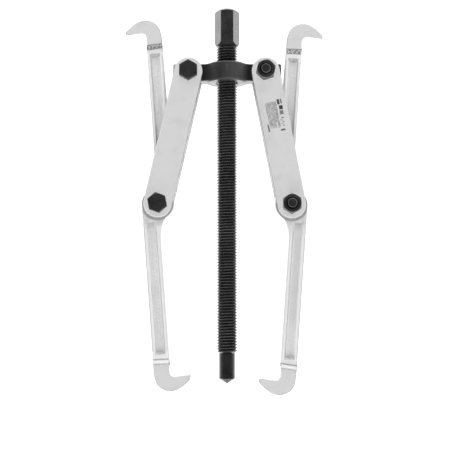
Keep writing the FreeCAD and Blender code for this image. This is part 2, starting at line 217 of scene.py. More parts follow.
def even(p, step, finest=0.26, turn=0.26):
    """The ring resampled: points step apart where it is straight, closer together where it bends."""
    q = np.vstack([p, p[:1]])
    t = np.concatenate([[0], np.cumsum(np.linalg.norm(np.diff(q, axis=0), axis=1))])
    n = max(8, int(t[-1] / 0.2))
    s = np.linspace(0, t[-1], n, endpoint=False)
    d = np.stack([np.interp(s, t, q[:, 0]), np.interp(s, t, q[:, 1])], 1)
    h = np.roll(d, -4, 0) - d
    a = np.unwrap(np.arctan2(h[:, 1], h[:, 0]))
    bend = np.abs((np.roll(a, -4) - np.roll(a, 0) + math.pi) % (2 * math.pi) - math.pi) / (4 * t[-1] / n)
    bend = np.maximum.reduce([np.roll(bend, k) for k in range(-1, 8)])
    local = np.clip(turn / np.maximum(bend, 1e-6), finest, step)
    w = np.concatenate([[0], np.cumsum(t[-1] / n / local)])
    m = int(round(w[-1]))
    at = np.interp(np.linspace(0, w[-1], m, endpoint=False), w, np.append(s, t[-1]))
    return np.stack([np.interp(at, t, q[:, 0]), np.interp(at, t, q[:, 1])], 1)


def room(p):
    """At each point of a ring, the radius of the largest circle to its left that touches it there."""
    e = np.roll(p, -1, 0) - p
    e /= np.linalg.norm(e, axis=1)[:, None]
    n = np.stack([-e[:, 1], e[:, 0]], 1)
    m = n + np.roll(n, 1, 0)
    m /= np.linalg.norm(m, axis=1)[:, None]
    d = p[None] - p[:, None]
    along = (d * m[:, None]).sum(2)
    r = np.where(along > 1e-5, (d**2).sum(2) / (2 * np.maximum(along, 1e-5)), 1e3).min(1)
    r = np.minimum.reduce([np.roll(r, k) for k in range(-2, 3)])
    return np.mean([np.roll(r, k) for k in range(-3, 4)], axis=0)


def shifted(p, d, most=None):
    """The ring moved to its left by d, which is inwards for a counter-clockwise ring. most caps the move at each point."""
    e = np.roll(p, -1, 0) - p
    e /= np.linalg.norm(e, axis=1)[:, None]
    n = np.stack([-e[:, 1], e[:, 0]], 1)
    m = n + np.roll(n, 1, 0)
    m /= np.linalg.norm(m, axis=1)[:, None]
    c = np.maximum((m * n).sum(1), 0.6)
    move = np.full(len(p), float(d)) if most is None else np.minimum(d, most)
    return p + m * (move / c)[:, None]


def inside(ring, pts):
    x, y = pts[:, 0], pts[:, 1]
    hit = np.zeros(len(pts), bool)
    a, b = ring, np.roll(ring, -1, 0)
    for (x1, y1), (x2, y2) in zip(a, b):
        if y1 == y2:
            continue
        c = (y1 > y) != (y2 > y)
        hit ^= c & (x < (x2 - x1) * (y - y1) / (y2 - y1) + x1)
    return hit


def clear_of(rings, pts, gap):
    """Which points are at least gap from every ring's points."""
    ok = np.ones(len(pts), bool)
    for r in rings:
        for i in range(0, len(pts), 400):
            d = np.linalg.norm(pts[i : i + 400, None] - r[None], axis=2).min(1)
            ok[i : i + 400] &= d > gap
    return ok


def fill(rings, rid, extra):
    """Triangles between the rings (the first is the outer one), through the extra points. rid are the rings' vertex indices. Returns the extra points used and triangles, where an index below 0 is -1 - k for extra point k."""
    outer, holes = rings[0], rings[1:]
    keep = inside(outer, extra) & clear_of(rings, extra, 0.38)
    for h in holes:
        keep &= ~inside(h, extra)
    extra = extra[keep]
    pts, ids, edges = [], [], []
    for r, i in zip(rings, rid):
        base = len(pts)
        pts += [Vector(p) for p in r]
        ids += [int(k) for k in i]
        edges += [(base + k, base + (k + 1) % len(r)) for k in range(len(r))]
    ids += [-1 - k for k in range(len(extra))]
    pts += [Vector(p) for p in extra]
    vs, _, fs, orig, _, _ = delaunay_2d_cdt(pts, edges, [], 0, 1e-6, True)
    co = np.array([v[:] for v in vs])
    cen = np.array([co[list(f)].mean(0) for f in fs])
    ok = inside(outer, cen)
    for h in holes:
        ok &= ~inside(h, cen)
    tris = []
    for f, k in zip(fs, ok):
        if k:
            a, b, c = [co[i] for i in f]
            t = [ids[orig[i][0]] for i in f]
            if (b[0] - a[0]) * (c[1] - a[1]) - (b[1] - a[1]) * (c[0] - a[0]) < 0:
                t = t[::-1]
            tris.append(t)
    # a sliver outside a nearly straight stretch of a ring hangs by an edge that no other triangle shares
    rim = {frozenset((ids[i], ids[j])) for i, j in edges}
    while True:
        sides = [[frozenset((t[0], t[1])), frozenset((t[1], t[2])), frozenset((t[2], t[0]))] for t in tris]
        uses = {}
        for es in sides:
            for e in es:
                uses[e] = uses.get(e, 0) + 1
        kept = [t for t, es in zip(tris, sides) if all(uses[e] > 1 or e in rim for e in es)]
        if len(kept) == len(tris):
            break
        tris = kept
    return extra, tris


def forge(body, loops, profs, height, middle, channels=(), channel_prof=(), web=3.0, extra=None, step=1.6, mid=()):
    """A flat forged or pressed shape lying in (u, v), with its thickness along w.

    loops: the outline (counter-clockwise) and any holes (clockwise). profs: for each face, one list per loop of (inset, drop) from the wall to the face.
    height(points, side) is the face's |w|. mid: extra (inset, w) rings on the wall between its middle and the face. middle: w of the mid-plane."""
    lo, hi = loops[0].min(0), loops[0].max(0)
    gx, gy = np.meshgrid(np.arange(lo[0] + 0.3, hi[0], step), np.arange(lo[1] + 0.3, hi[1], step))
    gx = gx + (np.arange(gx.shape[0]) % 2)[:, None] * step / 2
    lattice = np.stack([gx.ravel(), gy.ravel()], 1)
    lattice = lattice if extra is None else np.vstack([extra, lattice[clear_of([extra], lattice, 0.6)]])
    caps = [room(l) * 0.72 for l in loops]
    core = [body.add(np.c_[l, np.full(len(l), middle)], 1.0) for l in loops]
    for k, s in enumerate((-1, 1)):
        last_rings, last_ids = [], []
        for loop, cap, c, prof in zip(loops, caps, core, profs[k]):
            prev = c
            for d, w in mid:
                p = shifted(loop, d, cap)
                ids = body.add(np.c_[p, np.full(len(p), middle + s * w)], 1.0)
                body.strip(prev, ids, flip=s < 0)
                prev = ids
            for n, (d, drop) in enumerate(prof):
                p = shifted(loop, d, cap)
                w = middle + s * (height(p, s) - drop)
                ids = body.add(np.c_[p, w], 1.0 - n / max(1, len(prof) - 1))
                body.strip(prev, ids, flip=s < 0)
                prev = ids
            last_rings.append(p)
            last_ids.append(prev)
        floors = []
        for ch in channels:
            prev = None
            for d, f in channel_prof:
                p = shifted(ch, d)
                w = middle + s * (height(p, s) * (1 - f) + web * f)
                ids = body.add(np.c_[p, w], 0.0)
                if prev is None:
                    last_rings.append(p[::-1].copy())
                    last_ids.append(ids[::-1].copy())
                else:
                    body.strip(prev, ids, flip=s < 0)
                prev = ids
            floors.append((p, prev))
        jobs = [(last_rings, last_ids, False)] + [([p], [i], True) for p, i in floors]
        for rings, ids, is_floor in jobs:
            pts, tris = fill(rings, ids, lattice)
            w = middle + s * (np.full(len(pts), web) if is_floor else height(pts, s))
            new = body.add(np.c_[pts, w], 0.0) if len(pts) else []
            tris = [[new[-1 - i] if i < 0 else i for i in t] for t in tris]
            body.tris(tris if s > 0 else [t[::-1] for t in tris])


def smooth(x, a, b):
    t = np.clip((x - a) / (b - a), 0, 1)
    return t * t * (3 - 2 * t)


def rounded(r, n, draft=0.0):
    """Quarter-round profile as (inset, drop) pairs from the wall to the face."""
    return [
        (draft + r * (1 - math.cos(a)), r * (1 - math.sin(a)))
        for a in np.linspace(0, math.pi / 2, n)
    ]


def circle(r, cx=0.0, cy=0.0, n=72, clockwise=False):
    a = np.linspace(0, 2 * math.pi, n, endpoint=False)
    p = np.stack([cx + r * np.cos(a), cy + r * np.sin(a)], 1)
    return p[::-1].copy() if clockwise else p


def slot_ring(q0, q1, a0, a1, r, step):
    k = r * (1 - math.sqrt(0.5))
    return even(
        closed(
            [
                line((q0 + r, a0), (q1 - r, a0), step),
                turned([(q1 - r, a0), (q1 - k, a0 + k), (q1, a0 + r)], 0.3),
                line((q1, a0 + r), (q1, a1 - r), step),
                turned([(q1, a1 - r), (q1 - k, a1 - k), (q1 - r, a1)], 0.3),
                line((q1 - r, a1), (q0 + r, a1), step),
                turned([(q0 + r, a1), (q0 + k, a1 - k), (q0, a1 - r)], 0.3),
                line((q0, a1 - r), (q0, a0 + r), step),
                turned([(q0, a0 + r), (q0 + k, a0 + k), (q0 + r, a0)], 0.3),
            ]
        ),
        step,
    )


# ------------------------------------------------------------------ jaws
BOSS_R = 14.2


def jaw_half(k):
    """Outline of one arm and hook: the long end for k = 1, the short end for k = -1."""
    w, h = 14.2, 1.2 * k
    half = []
    half += line((w, 0), (w, 138.2 + h), 0.8)
    half += spline([(w, 138.2 + h), (13.95, 147.0 + h)], (-0.02, 1), (-0.03, 1), 0.7)
    half += spline(
        [(13.95, 147.0 + h), (12.3, 156.0 + h), (6.9, 161.7 + h), (-1.0, 163.5 + h), (-9.8, 160.3 + h), (-15.6, 155.6 + h)],
        (-0.15, 9.0), (-5.6, -5.0), 0.6,
    )
    half += turned([(-15.6, 155.6 + h), (-17.1, 154.2 + h), (-17.75, 152.9 + h)], 0.25)
    half += line((-17.75, 152.9 + h), (-17.95, 151.7 + h), 0.3)
    half += turned([(-17.95, 151.7 + h), (-17.6, 150.75 + h), (-16.7, 150.42 + h)], 0.2)
    half += line((-16.7, 150.42 + h), (-4.3, 151.2 + h), 0.8)
    half += turned([(-4.3, 151.2 + h), (-0.95, 150.05 + h), (0.45, 146.6 + h)], 0.35)
    half += spline([(0.45, 146.6 + h), (0.0, 138.5 + h)], (-0.06, -1), (0, -1), 0.7)
    half += line((0.0, 138.5 + h), (-0.1, 30.0), 0.8)
    half += spline(
        [(-0.1, 30.0), (-2.3, 18.9), (-4.8, 14.6), (-8.2, 11.6)], (-0.1, -8.0), (-4.2, -2.5), 0.5
    )
    a0, a1 = math.atan2(11.6, -8.2), math.pi
    half += [(BOSS_R * math.cos(a), BOSS_R * math.sin(a)) for a in np.linspace(a0, a1, 12)]
    return half


def jaw_outline(low):
    """The lower arm as drawn, and the upper arm turned half a turn."""
    return even(closed([jaw_half(low), [(-q, -a) for q, a in jaw_half(-low)]]), 0.62)


def jaw_height(low):
    def height(p, s):
        q, a = p[:, 0], p[:, 1]
        flip = np.where(a < 0, -1.0, 1.0)
        q, a = q * flip, a * flip
        # the step stands a little askew, and further out on the long end
        step = 137.2 + 1.8 * low * flip + np.where(low * flip > 0, 0.085, -0.04) * (q - 7.0)
        t = np.clip((a - step) / 2.6, 0, 1)
        h = 6.7 - 1.5 * t
        # forged ridges along the foot of the step
        h = h - 0.22 * np.exp(-(((a - step - 3.3) / 0.5) ** 2))
        h = h - 0.20 * np.exp(-(((a - step + 0.5) / 0.45) ** 2)) * smooth(q, 0.8, 2.0) * (1 - smooth(q, 12.2, 13.4))
        # the hook's last few millimetres are dressed thinner
        h = h - 0.25 * smooth(-q, 15.2, 17.9) * smooth(a, 140, 145)
        h = np.maximum(h, 6.7 + 0.7 * (1 - smooth(np.hypot(q, a), 13.5, 15.2)))
        # die unevenness of the faces, a few hundredths of a millimetre
        h = h + 0.025 * np.sin(0.41 * a + 0.9 * q + 1.7 * s) * np.sin(0.23 * a - 0.55 * q) * smooth(np.hypot(q, a), 15, 20)
        return h

    return height


def make_jaw(side):
    low = -1 if side == "left" else 1
    outline = jaw_outline(low)
    hole = circle(5.06, clockwise=True)
    edge, bore = rounded(0.55, 7, 0.12), [(0.0, 0.5), (0.5, 0.0)]
    mid = ((0.0, 0.75),)
    channels = [
        slot_ring(2.6, 11.7, 13.8, 131.4 + 1.8 * low, 3.0, 0.8),
        -slot_ring(2.6, 11.7, 13.8, 131.4 - 1.8 * low, 3.0, 0.8),
    ]
    prof = [
        (-0.40, 0.0), (-0.20, 0.018), (0.0, 0.055), (0.18, 0.13), (0.42, 0.28), (0.75, 0.50),
        (1.05, 0.70), (1.30, 0.85), (1.55, 0.94), (1.85, 0.985), (2.2, 1.0),
    ]
    extra = [circle(r, n=int(2 * math.pi * r / 1.1)) for r in (7.5, 9.5, 11.5, 12.8, 13.5, 14.0, 14.5, 15.0, 15.6, 16.6)]
    for d in (-1.5, -1.0, -0.75, -0.5, -0.25, 0.0, 0.3, 0.8, 1.5, 2.2, 2.7, 3.0, 3.25, 3.5, 3.75, 4.0, 4.25, 4.5, 4.9, 5.4):
        q = np.arange(-2, 15, 0.9)
        for k in (1, -1):
            a = 137.2 + 1.8 * low * k + (0.085 if low * k > 0 else -0.04) * (q - 7.0) + d
            extra.append(k * np.stack([q, a], 1))
    g = np.stack(np.meshgrid(np.arange(-18, -13.5, 0.55), np.arange(150, 157, 0.55)), -1).reshape(-1, 2)
    extra += [g, -g]
    b = Body()
    forge(
        b, [outline, hole], [[edge, bore], [edge, bore]], jaw_height(low), 0.0,
        channels=channels, channel_prof=prof, web=3.0, extra=np.vstack(extra), mid=mid,
    )
    t = math.radians(JAW_TILT[side])
    s = SIGN[side]
    px, _, pz = PIVOT[side]
    # columns: where q, a and w point
    m = np.eye(4)
    m[:3, 0] = (s * math.cos(t), 0, -math.sin(t))
    m[:3, 1] = (-s * math.sin(t), 0, -math.cos(t))
    m[:3, 2] = (0, 1, 0)
    m[:3, 3] = (px, 0, pz)
    if np.linalg.det(m[:3, :3]) < 0:
        b.f = [t[::-1] for t in b.f]
    return b.build(side + "_jaw_forged", m, sharp=40)


# ------------------------------------------------------------------ link plates
def make_plate(side, face):
    """A pressed plate: the punched face has a rolled edge, and the far face a crisp one."""
    r, n = 12.5, 120.0
    outline = even(
        closed(
            [
                line((-r, 0), (-r, n), 1.0),
                turned([(-r, n), (0, n + r), (r, n)], 0.7),
                line((r, n), (r, 0), 1.0),
                turned([(r, 0), (0, -r), (-r, 0)], 0.7),
            ]
        ),
        0.75,
    )
    holes = [circle(5.1, 0, v, n=64, clockwise=True) for v in (0, n)]
    rolled = rounded(0.85, 7, 0.10)
    crisp = rounded(0.35, 4, 0.02)
    hr = rounded(0.4, 4, 0.0)

    def height(p, s):
        # the press leaves the plate a few hundredths of a millimetre out of flat
        return 2.5 - 0.03 + 0.03 * np.sin(0.11 * p[:, 1] + 0.6 * s) * np.cos(0.16 * p[:, 0])

    outward = -1 if face == "front" else 1
    profs = [[rolled, hr, hr], [crisp, hr, hr]] if outward < 0 else [[crisp, hr, hr], [rolled, hr, hr]]
    b = Body()
    forge(b, [outline] + holes, profs, height, 0.0, step=2.6, mid=((0.06, 1.2),))
    t = math.radians(LINK_ANGLE[side])
    s = SIGN[side]
    m = np.eye(4)
    m[:3, 1] = (s * math.sin(t), 0, -math.cos(t))   # v runs down the link
    m[:3, 0] = (s * math.cos(t), 0, math.sin(t))    # u points outward
    m[:3, 2] = (0, 1, 0)
    m[:3, 3] = (TOP[side][0], outward * 10.1, TOP[side][2])
    # v down and u outward: a mirror on one side, so faces are turned to keep their outsides out
    if np.linalg.det(m[:3, :3]) < 0:
        b.f = [f[::-1] for f in b.f]
    return b.build("%s_link_plate_%s_pressed" % (side, face), m, sharp=40)


# ------------------------------------------------------------------ yoke
def make_yoke():
    t, r, f, L = 7.4, 18.0, 11.0, 48.0
    cx = math.sqrt((r + f) ** 2 - (t + f) ** 2)
    cy = t + f
    k = r / (r + f)

    def quarter(sx, sy):
        """From the arm's end to the hub, on one side."""
        a0 = math.atan2(-1, 0)
        a1 = math.atan2(-cy, -cx)
        arc = [
            (sx * (cx + f * math.cos(a)), sy * (cy + f * math.sin(a)))
            for a in np.linspace(a0, a1, 16)
        ]
        return (
            [(sx * (L - 1.8 + 1.8 * math.sin(a)), sy * (t - 1.8 + 1.8 * math.cos(a))) for a in np.linspace(math.pi / 2, 0, 8)]
            + line((sx * (L - 1.8), sy * t), (sx * cx, sy * t), 0.8)
            + arc
        )

    hub_a = math.atan2(cy, cx)
    top = [(r * math.cos(a), r * math.sin(a)) for a in np.linspace(hub_a, math.pi - hub_a, 60)]
    bottom = [(-x, -y) for x, y in top]
    outline = even(
        closed([quarter(1, 1), top, quarter(-1, 1)[::-1], quarter(-1, -1), bottom, quarter(1, -1)[::-1]]), 0.7
    )

    def height(p, s):
        rr = np.hypot(p[:, 0], p[:, 1])
        lift = 0.9 if s < 0 else 0.7
        return 7.6 + lift * (1 - smooth(rr, 15.8, 19.0))

    edge = rounded(1.3, 7, 0.18)
    mouth = [(0.0, 1.2), (0.15, 1.0), (1.05, 0.12), (1.25, 0.0)]
    extra = [circle(q, n=int(2 * math.pi * q / 1.3)) for q in (11.6, 13.2, 14.8, 15.8, 16.6, 17.4, 18.2, 19.0, 20.0)]
    b = Body()
    forge(
        b, [outline, circle(9.06, n=96, clockwise=True)], [[edge, mouth], [edge, mouth]], height, 0.0,
        extra=np.vstack(extra), step=1.8, mid=(),
    )
    m = np.eye(4)
    m[:3, 3] = (0, 0, YOKE_Z)
    ob = b.build("yoke_forged", m, sharp=40)
    # the pivot bores, with a broken edge at each mouth
    for x in (-34.0, 34.0):
        c = Body()
        rows = [(6.3, -10.0), (6.3, -7.6), (5.06, -6.9), (5.06, 6.9), (6.3, 7.6), (6.3, 10.0)]
        ring = [
            c.add([(x + rr * math.cos(a), yy, YOKE_Z + rr * math.sin(a)) for a in np.linspace(0, 2 * math.pi, 64, endpoint=False)])
            for rr, yy in rows
        ]
        for p, q in zip(ring, ring[1:]):
            c.strip(p, q)
        e0, e1 = c.add([(x, -10.0, YOKE_Z)]), c.add([(x, 10.0, YOKE_Z)])
        c.fan(ring[0], e0[0], flip=True)
        c.fan(ring[-1], e1[0])
        c.f = [t[::-1] for t in c.f]
        cutter = c.build("cutter")
        mod = ob.modifiers.new("bore", "BOOLEAN")
        mod.object, mod.operation, mod.solver = cutter, "DIFFERENCE", "EXACT"
        bpy.context.view_layer.update()
        dg = bpy.context.evaluated_depsgraph_get()
        me = bpy.data.meshes.new_from_object(ob.evaluated_get(dg))
        ob.modifiers.remove(mod)
        old = ob.data
        ob.data = me
        bpy.data.meshes.remove(old)
        cm = cutter.data
        bpy.data.objects.remove(cutter)
        bpy.data.meshes.remove(cm)
    ob.data.polygons.foreach_set("use_smooth", [True] * len(ob.data.polygons))
    ob.data.set_sharp_from_angle(angle=math.radians(40))
    return ob


# ------------------------------------------------------------------ threads, hexagons and turned parts
def hex_radius(theta, af, rho):
    """Radius of a hexagon with corners at whole multiples of 60 degrees, rounded by rho."""
    g = (np.degrees(theta) + 30.0) % 60.0 - 30.0
    g = np.radians(np.abs(g))
    flat = (af / 2) / np.cos(math.radians(30) - g)
    c = (af / 2 - rho) / math.cos(math.radians(30))
    g0 = math.atan2(rho * 0.5, c + rho * math.cos(math.radians(30)))
    arc = c * np.cos(g) + np.sqrt(np.maximum(rho**2 - (c * np.sin(g)) ** 2, 0))
    return np.where(g < g0, arc, flat)


def thread_profile(crest, root, pitch):
    """(fraction of a pitch, radius) round one 60 degree thread with a rounded root and a slightly rounded crest."""
    depth = crest - root
    flank = depth * math.tan(math.radians(30)) / pitch
    c = 0.5 * 0.125
    rf = (1 - 2 * flank - 2 * c) / 2
    return [
        (0.0, crest), (c * 0.75, crest - 0.02 * depth), (c + 0.05 * flank, crest - 0.07 * depth),
        (c + flank * 0.5, crest - 0.5 * depth),
        (c + flank * 0.9, root + 0.13 * depth), (c + flank + rf * 0.4, root + 0.02 * depth),
        (0.5, root), (1 - c - flank - rf * 0.4, root + 0.02 * depth), (1 - c - flank * 0.9, root + 0.13 * depth),
        (1 - c - flank * 0.5, crest - 0.5 * depth),
        (1 - c - 0.05 * flank, crest - 0.07 * depth), (1 - c * 0.75, crest - 0.02 * depth),
    ]


def add_thread(b, crest, root, pitch, z0, z1, n, envelope, phase=0.0):
    """A right-hand helical thread between z0 and z1; returns its end rings. envelope(z) caps the radius, and must meet the same small radius at both ends."""
    prof = thread_profile(crest, root, pitch)
    M = len(prof)
    turns = int(math.ceil((z1 - z0) / pitch)) + 3
    base = z0 - 2 * pitch + phase * pitch
    th = 2 * math.pi * np.arange(n) / n
    rows = turns * M
    frac = np.tile([p[0] for p in prof], turns) + np.repeat(np.arange(turns), M)
    rad = np.tile([p[1] for p in prof], turns)
    z = base + pitch * (frac[None, :] + (np.arange(n) / n)[:, None])
    zc = np.clip(z, z0, z1)
    r = np.minimum(rad[None, :], envelope(zc))
    pts = np.stack([r * np.cos(th)[:, None], r * np.sin(th)[:, None], zc], -1)
    ids = b.add(pts.reshape(-1, 3)).reshape(n, rows)
    for k in range(n):
        k2 = (k + 1) % n
        sh = M if k2 == 0 else 0
        lo = 0
        hi = rows - 1 - sh
        for i in range(lo, hi):
            if zc[k, i] == zc[k, i + 1] and zc[k2, i + sh] == zc[k2, i + 1 + sh]:
                continue
            b.f.append((int(ids[k, i]), int(ids[k2, i + sh]), int(ids[k2, i + 1 + sh]), int(ids[k, i + 1])))
    low = b.add(np.stack([envelope(np.full(n, z0)) * np.cos(th), envelope(np.full(n, z0)) * np.sin(th), np.full(n, z0)], 1))
    high = b.add(np.stack([envelope(np.full(n, z1)) * np.cos(th), envelope(np.full(n, z1)) * np.sin(th), np.full(n, z1)], 1))
    return low, high


def rings(b, rows, n):
    """Rings of points from rows of (radius, z), each a number or an array over the turn."""
    th = 2 * math.pi * np.arange(n) / n
    out = []
    for r, z in rows:
        r, z = np.broadcast_to(r, (n,)), np.broadcast_to(z, (n,))
        out.append(b.add(np.stack([r * np.cos(th), r * np.sin(th), z], 1)))
    return out


def stitch(b, rs):
    for p, q in zip(rs, rs[1:]):
        b.strip(p, q)


def make_screw():
    n = 96
    crest, root = 9.0, 9.0 - 1.534
    z0, z1 = YOKE_Z - 246.0, YOKE_Z + 24.62
    small = root - 0.06

    def envelope(z):
        return np.minimum(
            np.interp(z, [z0, z0 + 1.3], [small, crest + 0.01]),
            np.interp(z, [z1 - 1.05, z1 - 0.45], [crest + 0.01, small]),
        )

    b = Body()
    # the crest stands at the front (-Y, a quarter turn back) 0.82 mm below the neck
    low, high = add_thread(b, crest, root, 2.5, z0, z1, n, envelope, phase=0.72)
    th = 2 * math.pi * np.arange(n) / n
    hr = hex_radius(th, 19.0, 0.3)
    zl = YOKE_Z + 24.72
    cone = zl + 1.5 * (hr - 9.0)
    top = YOKE_Z + 58.30
    cap = top - (hr - 6.4) * math.tan(math.radians(31))
    hexr = rings(
        b,
        [
            (small + 0.05, zl - 0.04), (8.9, zl - 0.02), (9.05, zl + 0.07),
            (hr - 0.10, cone - 0.17), (hr - 0.02, cone - 0.02), (hr, cone + 0.15),
            (hr, zl + 10.0), (hr, zl + 20.0),
            (hr, cap - 0.25), (hr - 0.05, cap - 0.04), (hr - 0.25, cap + 0.12),
            (7.2, top - 0.8 * math.tan(math.radians(31)) * 1.05), (6.5, top - 0.14), (6.0, top - 0.03), (5.2, top),
            (2.6, top + 0.02),
        ],
        n,
    )
    stitch(b, [high] + hexr)
    c = b.add([(0, 0, top + 0.02)])
    b.fan(hexr[-1], c[0])
    # lower end: flat ring, then the socket that holds the tip's shank and the ball
    sock = rings(
        b,
        [
            (small - 0.15, z0 - 0.02), (4.5, z0 - 0.02), (4.05, z0 + 0.4), (4.05, z0 + 6.65), (4.75, z0 + 6.68),
            (4.75, z0 + 7.92), (4.05, z0 + 7.95), (4.05, z0 + 17.3), (1.5, z0 + 17.5),
        ],
        n,
    )
    body_rings = [low] + sock
    for p, q in zip(body_rings, body_rings[1:]):
        b.strip(p, q, flip=True)
    c = b.add([(0, 0, z0 + 17.5)])
    b.fan(sock[-1], c[0], flip=True)
    return b.build("forcing_screw_threaded", None, sharp=32, weld=1e-5)


def make_tip():
    n = 96
    zt, zc, zp = YOKE_Z - 246.3, YOKE_Z - 268.45, 0.0
    b = Body()
    rows = [(0.28, zp + 0.03), (0.5, zp + 0.14)]
    rows += [(0.5 + (6.62 - 0.5) * t, zp + 0.14 + (zc - zp - 0.14) * t) for t in (0.25, 0.5, 0.75)]
    rows += [(6.60, zc - 0.02), (6.70, zc + 0.08), (6.75, zc + 0.25)]
    # fine turning marks on the nose
    z = zc + 0.6
    k = 0
    while z < zt - 1.0:
        rows.append((6.75 - (0.012 if k % 2 else 0.0), z))
        z += 0.42
        k += 1
    rows += [(6.75, zt - 0.65), (6.6, zt - 0.30), (6.2, zt - 0.03), (5.9, zt)]
    rows += [
        (4.05, zt), (4.0, zt + 0.05), (4.0, YOKE_Z - 239.30), (3.35, YOKE_Z - 239.28), (3.35, YOKE_Z - 238.12),
        (4.0, YOKE_Z - 238.10), (4.0, YOKE_Z - 236.0), (3.6, YOKE_Z - 235.62), (1.5, YOKE_Z - 235.6),
    ]
    rs = rings(b, rows, n)
    stitch(b, rs)
    p, q = b.add([(0, 0, zp)]), b.add([(0, 0, YOKE_Z - 235.6)])
    b.fan(rs[0], p[0], flip=True)
    b.fan(rs[-1], q[0])
    return b.build("pressure_tip_turned", None, sharp=30)


def axis_matrix(side, pivot, y, forward, turn):
    """Local +Z to -Y (forward) or +Y, with a hexagon corner up, turned clockwise as seen from the front by turn degrees."""
    m = np.eye(4)
    if forward:
        m[:3, :3] = np.array([[0, -1, 0], [0, 0, -1], [1, 0, 0]], float)
    else:
        m[:3, :3] = np.array([[0, 1, 0], [0, 0, 1], [1, 0, 0]], float)
    a = math.radians(turn)
    r = np.array([[math.cos(a), 0, math.sin(a)], [0, 1, 0], [-math.sin(a), 0, math.cos(a)]])
    m[:3, :3] = r @ m[:3, :3]
    m[:3, 3] = (pivot[0], y, pivot[2])
    return m


def make_bolt(name, m):
    """M10 x 35: the head is towards local +Z from z = 0, the thread's end at z = -35."""
    n = 96
    th = 2 * math.pi * np.arange(n) / n
    hr = hex_radius(th, 15.6, 0.25)
    H = 6.4
    cap = H - (hr - 7.4) * math.tan(math.radians(24))
    crest, root, pitch = 5.0, 5.0 - 0.92, 1.5
    small = root - 0.05
    z0, z1 = -35.0, -20.0

    def envelope(z):
        return np.minimum(
            np.interp(z, [z0, z0 + 0.18, z0 + 1.1], [small, small + 0.02, crest + 0.01]),
            np.interp(z, [z1 - 0.9, z1], [crest + 0.01, small]),
        )

    b = Body()
    low, high = add_thread(b, crest, root, pitch, z0, z1, n, envelope, phase=0.2)
    rs = rings(
        b,
        [
            (4.55, z1 + 0.3), (4.97, z1 + 0.8), (5.0, z1 + 1.2), (5.0, -0.5), (5.05, -0.1), (5.35, 0.0),
            (7.3, 0.0), (hr - 0.35, 0.05), (hr - 0.05, 0.2), (hr, 0.4),
            (hr, cap - 0.22), (hr - 0.05, cap - 0.05), (hr - 0.2, cap + 0.07),
            (7.45, H - 0.05), (7.25, H - 0.01), (6.9, H), (6.6, H - 0.03), (3.2, H - 0.10),
        ],
        n,
    )
    stitch(b, [high] + rs)
    c = b.add([(0, 0, H - 0.11)])
    b.fan(rs[-1], c[0])
    # the end: chamfer, then a slightly dished face
    er = rings(b, [(small - 0.12, z0), (3.4, z0 + 0.03), (1.7, z0 + 0.10)], n)
    for p, q in zip([low] + er, er):
        b.strip(p, q, flip=True)
    c = b.add([(0, 0, z0 + 0.12)])
    b.fan(er[-1], c[0], flip=True)
    return b.build(name, m, sharp=32, weld=1e-5)


def make_nut(name, m):
    """M10 nut from z = 0 (bearing face) to 8.4, countersunk and chamfered at both ends."""
    n = 96
    th = 2 * math.pi * np.arange(n) / n
    hr = hex_radius(th, 15.6, 0.25)
    H = 8.4
    cap = H - (hr - 7.45) * math.tan(math.radians(25))
    foot = (hr - 7.6) * math.tan(math.radians(20))
    b = Body()
    rows = [
        (5.75, 0.0), (7.6, 0.0), (hr - 0.12, np.maximum(foot - 0.03, 0.03)), (hr, foot + 0.15),
        (hr, cap - 0.22), (hr - 0.05, cap - 0.05), (hr - 0.2, cap + 0.07),
        (7.5, H - 0.05), (7.3, H - 0.01), (7.1, H), (6.05, H), (5.9, H - 0.04),
    ]
    # the mouth runs down to a cut internal thread
    rows += [(5.15, H - 0.62), (5.04, H - 0.8)]
    z, k = H - 1.1, 0
    while z > 1.0:
        rows.append((5.04 if k % 2 else 5.55, z))
        z -= 0.75
        k += 1
    rows += [(5.04, 0.8), (5.15, 0.62), (5.62, 0.08)]
    rs = rings(b, rows, n)
    stitch(b, rs)
    b.strip(rs[-1], rs[0])
    return b.build(name, m, sharp=30)


# ------------------------------------------------------------------ materials
def nodes_of(mat):
    mat.use_nodes = True
    nt = mat.node_tree
    nt.nodes.clear()
    return nt, nt.nodes, nt.links


